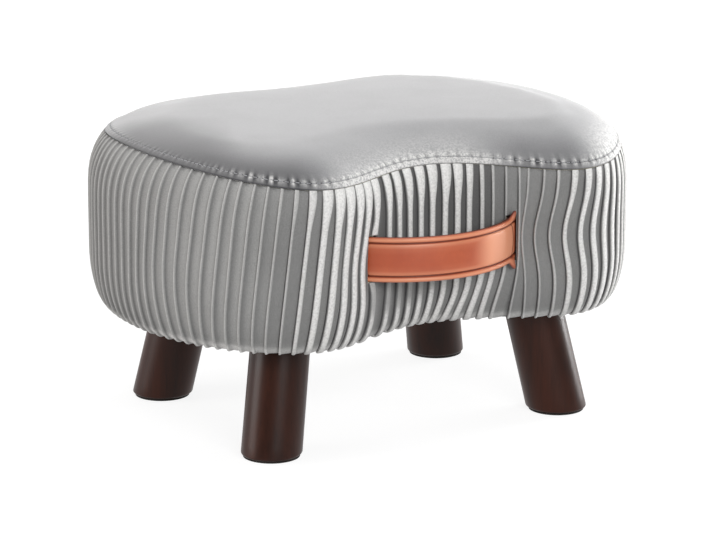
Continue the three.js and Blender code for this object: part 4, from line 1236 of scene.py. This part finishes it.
def side_foam():
    rows = []
    for height in np.linspace(SEAT_BOARD_TOP, HEM_HEIGHT + HEM_RISE, 5):
        inset = PADDING_DEPTH + crown(crown_angle(height))[0]
        rows.append(at_height(foam_at - foam_normal * inset, height))
    for angle in np.linspace(0.1, 1, 8) * math.pi / 2:
        depth = PADDING_DEPTH - HEM_SQUEEZE * smooth_step(angle, 0.9, math.pi / 2)
        rows.append(lift(foam_at, foam_normal, hem(angle), depth))
    back = foam_at - foam_normal * (PADDING_BACK - FIT_GAP)
    for height in np.linspace(rows[-1][:, 2].max(), SEAT_BOARD_TOP, 5):
        rows.append(at_height(back, height))
    faces = grid_faces(len(rows), len(foam_at), wrap_rows=True, wrap_columns=True)
    piece = make_piece("side_foam", np.concatenate(rows) + SHIFT, faces, foam)
    fix_normals(piece)
    cut_away(piece, slit_tools)
    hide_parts("side_padding")


def seat_foam():
    under_cover = top_rows(CLOTH + SEAT_FOAM_GAP, relief=False) + settling
    upper = under_cover[[4, 8, 12, 16, 20, *range(23, len(under_cover), 3)], ::SEAT_FOAM_EVERY]
    at, normal = top_at[::SEAT_FOAM_EVERY], top_normal[::SEAT_FOAM_EVERY]
    lower = []
    for share in (0.0, 0.4, 0.75):
        angle = SPLIT_ANGLE + (seam_angle(at) - SPLIT_ANGLE) * share
        lower.append(lift(at, normal, crown(angle), PADDING_DEPTH - SEAM_BULGE * share))
    lower[0][:, 2] = SEAT_BOARD_TOP + FIT_GAP
    rows = np.array([*lower, *upper])
    faces = capped_faces(len(rows), len(at), MIDDLE_X[::SEAT_FOAM_EVERY])
    faces.append(list(range(len(at))))
    piece = make_piece("seat_foam_block", rows.reshape(-1, 3) + SHIFT, faces, foam)
    fix_normals(piece, split_bottom=True)
    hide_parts("seat_foam")


side_foam()
seat_foam()
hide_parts("handle_strap")
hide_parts("handle_backing")

# Legs and pads
LEG_SPLAY = np.array([0.183, 0.156])
LEG_FOOT_INSET = np.array([81.2, 103.1]) * MM
LEG_FOOT_RADIUS, LEG_TOP_RADIUS = 22.5 * MM, 22 * MM
LEG_FOOT_ROUNDING, LEG_TOP_ROUNDING = 1.8 * MM, 0.5 * MM
BOLT_RADIUS, BOLT_GRIP, BOLT_PAST = 4.3 * MM, 34.3 * MM, 5 * MM
PAD_ROUNDING = 0.5 * MM
SHARP_ANGLE = math.radians(40)


def leg_axis(corner, height):
    x, y = np.array([HALF_LENGTH, HALF_DEPTH]) - LEG_FOOT_INSET - LEG_SPLAY * height
    return np.array([corner[0] * x, corner[1] * y])


def leg_profile(length):
    profile = [(0, 0)]
    for angle in np.linspace(0, math.pi / 2, 6):
        profile.append((
            LEG_FOOT_RADIUS - LEG_FOOT_ROUNDING * (1 - math.sin(angle)),
            LEG_FOOT_ROUNDING * (1 - math.cos(angle))))
    for share in np.linspace(0, 1, 12)[1:-1]:
        profile.append((
            LEG_FOOT_RADIUS + (LEG_TOP_RADIUS - LEG_FOOT_RADIUS) * share,
            LEG_FOOT_ROUNDING + (length - LEG_FOOT_ROUNDING - LEG_TOP_ROUNDING) * share))
    return profile + [
        (LEG_TOP_RADIUS, length - LEG_TOP_ROUNDING), (LEG_TOP_RADIUS - LEG_TOP_ROUNDING, length),
        (0, length)]


def make_leg(name, corner):
    low, high = (end[2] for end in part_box(f"leg_{name}"))
    points, faces = lathe(leg_profile(high - low), 96)
    highlight_share = -np.array(corner) * LEG_SPLAY
    heading = highlight_share / np.linalg.norm(highlight_share)
    widen = math.hypot(1, np.linalg.norm(highlight_share)) - 1
    points[:, :2] += np.outer(points[:, :2] @ heading * widen, heading)
    points[:, :2] += np.outer(points[:, 2], highlight_share)
    points += [*leg_axis(corner, low), low] + SHIFT
    piece = make_piece(f"turned_leg_{name}", points, faces, leg_wood)
    fix_normals(piece)
    start = np.array([*leg_axis(corner, high), high - BOLT_GRIP]) + SHIFT
    cut_away(piece, [cutter(*rod(start, start + [0, 0, BOLT_GRIP + BOLT_PAST], BOLT_RADIUS))])
    piece.data.set_sharp_from_angle(angle=SHARP_ANGLE)
    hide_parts(f"leg_{name}")


def make_pad(name):
    low, high = np.array(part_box(f"foot_pad_{name}"))
    radius, thick = (high[0] - low[0]) / 2, high[2] - low[2]
    edge = PAD_ROUNDING
    points, faces = lathe([
        (0, 0), (radius - edge, 0), (radius - 0.15 * edge, 0.3 * edge), (radius, edge),
        (radius, thick - edge), (radius - 0.15 * edge, thick - 0.3 * edge),
        (radius - edge, thick), (0, thick)], 64)
    points += [*(low + high)[:2] / 2, low[2]]
    piece = make_piece(f"felt_pad_{name}", points, faces, felt)
    fix_normals(piece)
    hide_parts(f"foot_pad_{name}")


for corner_name, corner_signs in CORNERS.items():
    make_leg(corner_name, corner_signs)
    make_pad(corner_name)

# Underside
DUST_OVERLAP = 9 * MM
DUST_INSET = HEM_INSET + STAPLE_MARGIN - DUST_OVERLAP
DUST_THICKNESS = 0.7 * MM
DUST_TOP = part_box("dust_cover")[1][2]
DUST_LOW = DUST_TOP - DUST_THICKNESS
DUST_TOP_GAP, DUST_GAPS = 0.26 * MM, 0.3 * MM
DUST_SAG = 0.12 * MM
DUST_GRID, DUST_GRID_X, DUST_GRID_Y = 9 * MM, 200 * MM, 180 * MM
RIM_GAP, HOLE_GAP = 4 * MM, 5 * MM
LEG_HOLE_RADIUS = 23.7 * MM
LEG_HOLE_STRETCH = math.hypot(1, 0.24) - 1
STAPLE_COUNT = 38
STAPLE_IN = 3.5 * MM
STAPLE_LENGTH, STAPLE_HALF_WIDTH, STAPLE_PROUD = 10 * MM, 0.3 * MM, 0.35 * MM
STAPLE_ROUNDING = 0.1 * MM


def inside(points, loop):
    """Which points lie inside a closed line, by how many of its edges lie to their right."""
    x, y = points[:, :1], points[:, 1:]
    after = np.roll(loop, -1, axis=0)
    run, rise = (after - loop).T
    crossed = (loop[:, 1] > y) != (after[:, 1] > y)
    reach = loop[:, 0] + (y - loop[:, 1]) * (run / np.where(rise == 0, 1e-12, rise))
    return (crossed & (x < reach)).sum(axis=1) % 2 == 1


def leg_hole(corner):
    turn = np.linspace(0, 2 * np.pi, 48, endpoint=False)
    circle = np.stack([np.cos(turn), np.sin(turn)], -1) * LEG_HOLE_RADIUS
    highlight_share = LEG_SPLAY / np.linalg.norm(LEG_SPLAY) * np.array(corner)
    circle += np.outer(circle @ highlight_share, highlight_share) * LEG_HOLE_STRETCH
    return leg_axis(corner, DUST_LOW) + circle


def dust_points(holes):
    """A grid of points in the cloth, clear of its rim and of the legs."""
    xs, ys = np.meshgrid(
        np.arange(-DUST_GRID_X, DUST_GRID_X, DUST_GRID),
        np.arange(-DUST_GRID_Y, DUST_GRID_Y, DUST_GRID))
    points = np.stack([xs.ravel(), ys.ravel()], -1)
    points = points[inside(points, foam_at - foam_normal * (DUST_INSET + RIM_GAP))]
    for hole in holes:
        off = np.linalg.norm(points - hole.mean(axis=0), axis=1)
        points = points[off > LEG_HOLE_RADIUS + HOLE_GAP]
    return points


def dust_net():
    """Points and triangles of the flat cloth, with a hole round each leg."""
    rim = foam_at - foam_normal * DUST_INSET
    holes = [leg_hole(corner) for corner in CORNERS.values()]
    points = np.concatenate([rim, *holes, dust_points(holes)])
    edges, start = [], 0
    for loop in (rim, *holes):
        edges += [(start + i, start + (i + 1) % len(loop)) for i in range(len(loop))]
        start += len(loop)
    net = delaunay_2d_cdt([Vector(point) for point in points], edges, [], 0, 1e-7)
    verts, triangles = np.array([tuple(vertex) for vertex in net[0]]), np.array(net[2])
    centres = verts[triangles].mean(axis=1)
    keep = inside(centres, rim)
    for hole in holes:
        keep &= ~inside(centres, hole)
    return verts, triangles[keep]


def dust_cloth():
    verts, triangles = dust_net()
    sag = DUST_SAG * (np.sin(verts[:, 0] * 61) + np.sin(verts[:, 1] * 73 + 1.1))
    upper = at_height(verts, DUST_TOP - DUST_TOP_GAP + sag)
    lower = upper - [0, 0, DUST_THICKNESS - DUST_GAPS]
    count = len(verts)
    faces = [*triangles.tolist(), *(triangles[:, ::-1] + count).tolist()]
    edges = [edge for t in triangles.tolist() for edge in zip(t, t[1:] + t[:1])]
    known = set(edges)
    faces += [[j, i, i + count, j + count] for i, j in edges if (j, i) not in known]
    points = np.concatenate([upper, lower]) + SHIFT
    piece = make_piece("dust_cloth", points, faces, non_woven)
    fix_normals(piece)
    piece.data.set_sharp_from_angle(angle=SHARP_ANGLE)
    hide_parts("dust_cover")


def staples():
    at, normal = frames(np.arange(PLEAT_COUNT * 8) / 8)
    line = looped(at_height(at - normal * (DUST_INSET + STAPLE_IN), DUST_LOW))
    half = STAPLE_LENGTH / 2
    bar, faces = block((-half, -STAPLE_HALF_WIDTH, -STAPLE_PROUD), (half, STAPLE_HALF_WIDTH, 0))
    points, faces = spread_along(line, STAPLE_COUNT, STAPLE_LENGTH, bar, faces)
    piece = make_piece(
        "dust_cloth_staples", points + SHIFT, faces, zinc, smooth=False)
    fix_normals(piece)
    modifier = piece.modifiers.new("rounded", "BEVEL")
    modifier.width = STAPLE_ROUNDING
    modifier.segments = 2
    apply_modifiers(piece)


dust_cloth()
staples()
for spare in [piece for piece in scene.objects if piece.name.startswith("cutter")]:
    bpy.data.objects.remove(spare)

# Frame pieces
FRAME_FINISHES = (
    (("seat_board", "base_board"), plywood),
    (("side_wall",), hardboard),
    (("post_", "handle_block"), post_wood),
    (("upper_screw", "lower_screw", "clamp_", "hanger_bolt", "tee_nut"), zinc),
)
for node_name, node in frame["nodes"].items():
    for starts, material in FRAME_FINISHES:
        if node_name.startswith(starts) and not node.hide_render:
            dress(node.data, material)

# Stage
FLOOR_DROP = 0.2 * MM
FLOOR_HALF = 6.0
FLOOR_CORNERS = ((-1, -1), (1, -1), (1, 1), (-1, 1))
FLOOR_GLOW = 0.865
FLOOR_SEEN = (0.24, 0.24, 0.24, 1)
FLOOR_BOUNCED = (0.42, 0.42, 0.42, 1)
WHITE = (1, 1, 1, 1)
WORLD_LIGHT = 0.36


def floor_material():
    """A bright floor for what the camera and mirrors see, and a darker one for bounced light."""
    m = Material("floor")
    path = m.node("ShaderNodeLightPath").outputs
    direct = m.math("MAXIMUM", path["Is Camera Ray"], path["Is Glossy Ray"])
    direct = m.math("MAXIMUM", direct, path["Is Transmission Ray"])
    glow = m.node("ShaderNodeEmission", {"Color": WHITE, "Strength": FLOOR_GLOW})
    cloth = m.node("ShaderNodeBsdfDiffuse", {"Color": FLOOR_SEEN})
    seen = m.node("ShaderNodeAddShader", {0: glow.outputs[0], 1: cloth.outputs[0]})
    bounced = m.node("ShaderNodeBsdfDiffuse", {"Color": FLOOR_BOUNCED})
    shaders = {0: direct, 1: bounced.outputs[0], 2: seen.outputs[0]}
    mixer = m.node("ShaderNodeMixShader", shaders)
    m.tree.links.new(mixer.outputs[0], m.tree.nodes["Material Output"].inputs["Surface"])
    m.tree.nodes.remove(m.shader)
    return m.data


floor_points = [(x * FLOOR_HALF, y * FLOOR_HALF, -FLOOR_DROP) for x, y in FLOOR_CORNERS]
floor = linked("floor", plain_mesh("floor", floor_points, [[0, 1, 2, 3]]))
dress(floor.data, floor_material())

world = bpy.data.worlds.new("studio")
scene.world = world
world.use_nodes = True
nodes, links = world.node_tree.nodes, world.node_tree.links
background = nodes["Background"]
light_path = nodes.new("ShaderNodeLightPath")
strength = nodes.new("ShaderNodeMapRange")
strength.inputs["To Min"].default_value = WORLD_LIGHT
strength.inputs["To Max"].default_value = 1.0
links.new(light_path.outputs["Is Camera Ray"], strength.inputs["Value"])
links.new(strength.outputs["Result"], background.inputs["Strength"])
background.inputs["Color"].default_value = WHITE

# Each lamp: place in metres, width and height, power in watts, and tint. All look at the stool.
LAMPS = {
    "key": ((-3.4, 1.25, 0.65), (1.9, 1.9), 92, (1.0, 0.965, 0.945)),
    "right": ((1.72, 0.24, 0.95), (1.0, 1.0), 13, (1.0, 1.0, 1.0)),
    "low": ((1.7, -0.02, 0.17), (0.5, 0.3), 16, (1.0, 1.0, 1.0)),
    "front": ((-0.3, -2.2, 1.0), (1.2, 1.0), 29, (1.0, 1.0, 1.0)),
    "rear": ((0.5, 1.95, 0.75), (1.4, 0.9), 10, (1.0, 1.0, 1.0)),
    "top": ((0.3, 0.1, 1.7), (1.2, 1.0), 5, (1.0, 1.0, 1.0)),
}
LAMP_AIM = Vector((0, 0, 0.14))
for lamp_name, (where, size, power, tint) in LAMPS.items():
    lamp = bpy.data.lights.new(lamp_name, "AREA")
    lamp.shape = "RECTANGLE"
    lamp.size, lamp.size_y = size
    lamp.energy = power
    lamp.color = tint
    holder = linked(lamp_name, lamp)
    holder.location = where
    aim(holder, LAMP_AIM - Vector(where))

scene.view_settings.view_transform = "Standard"
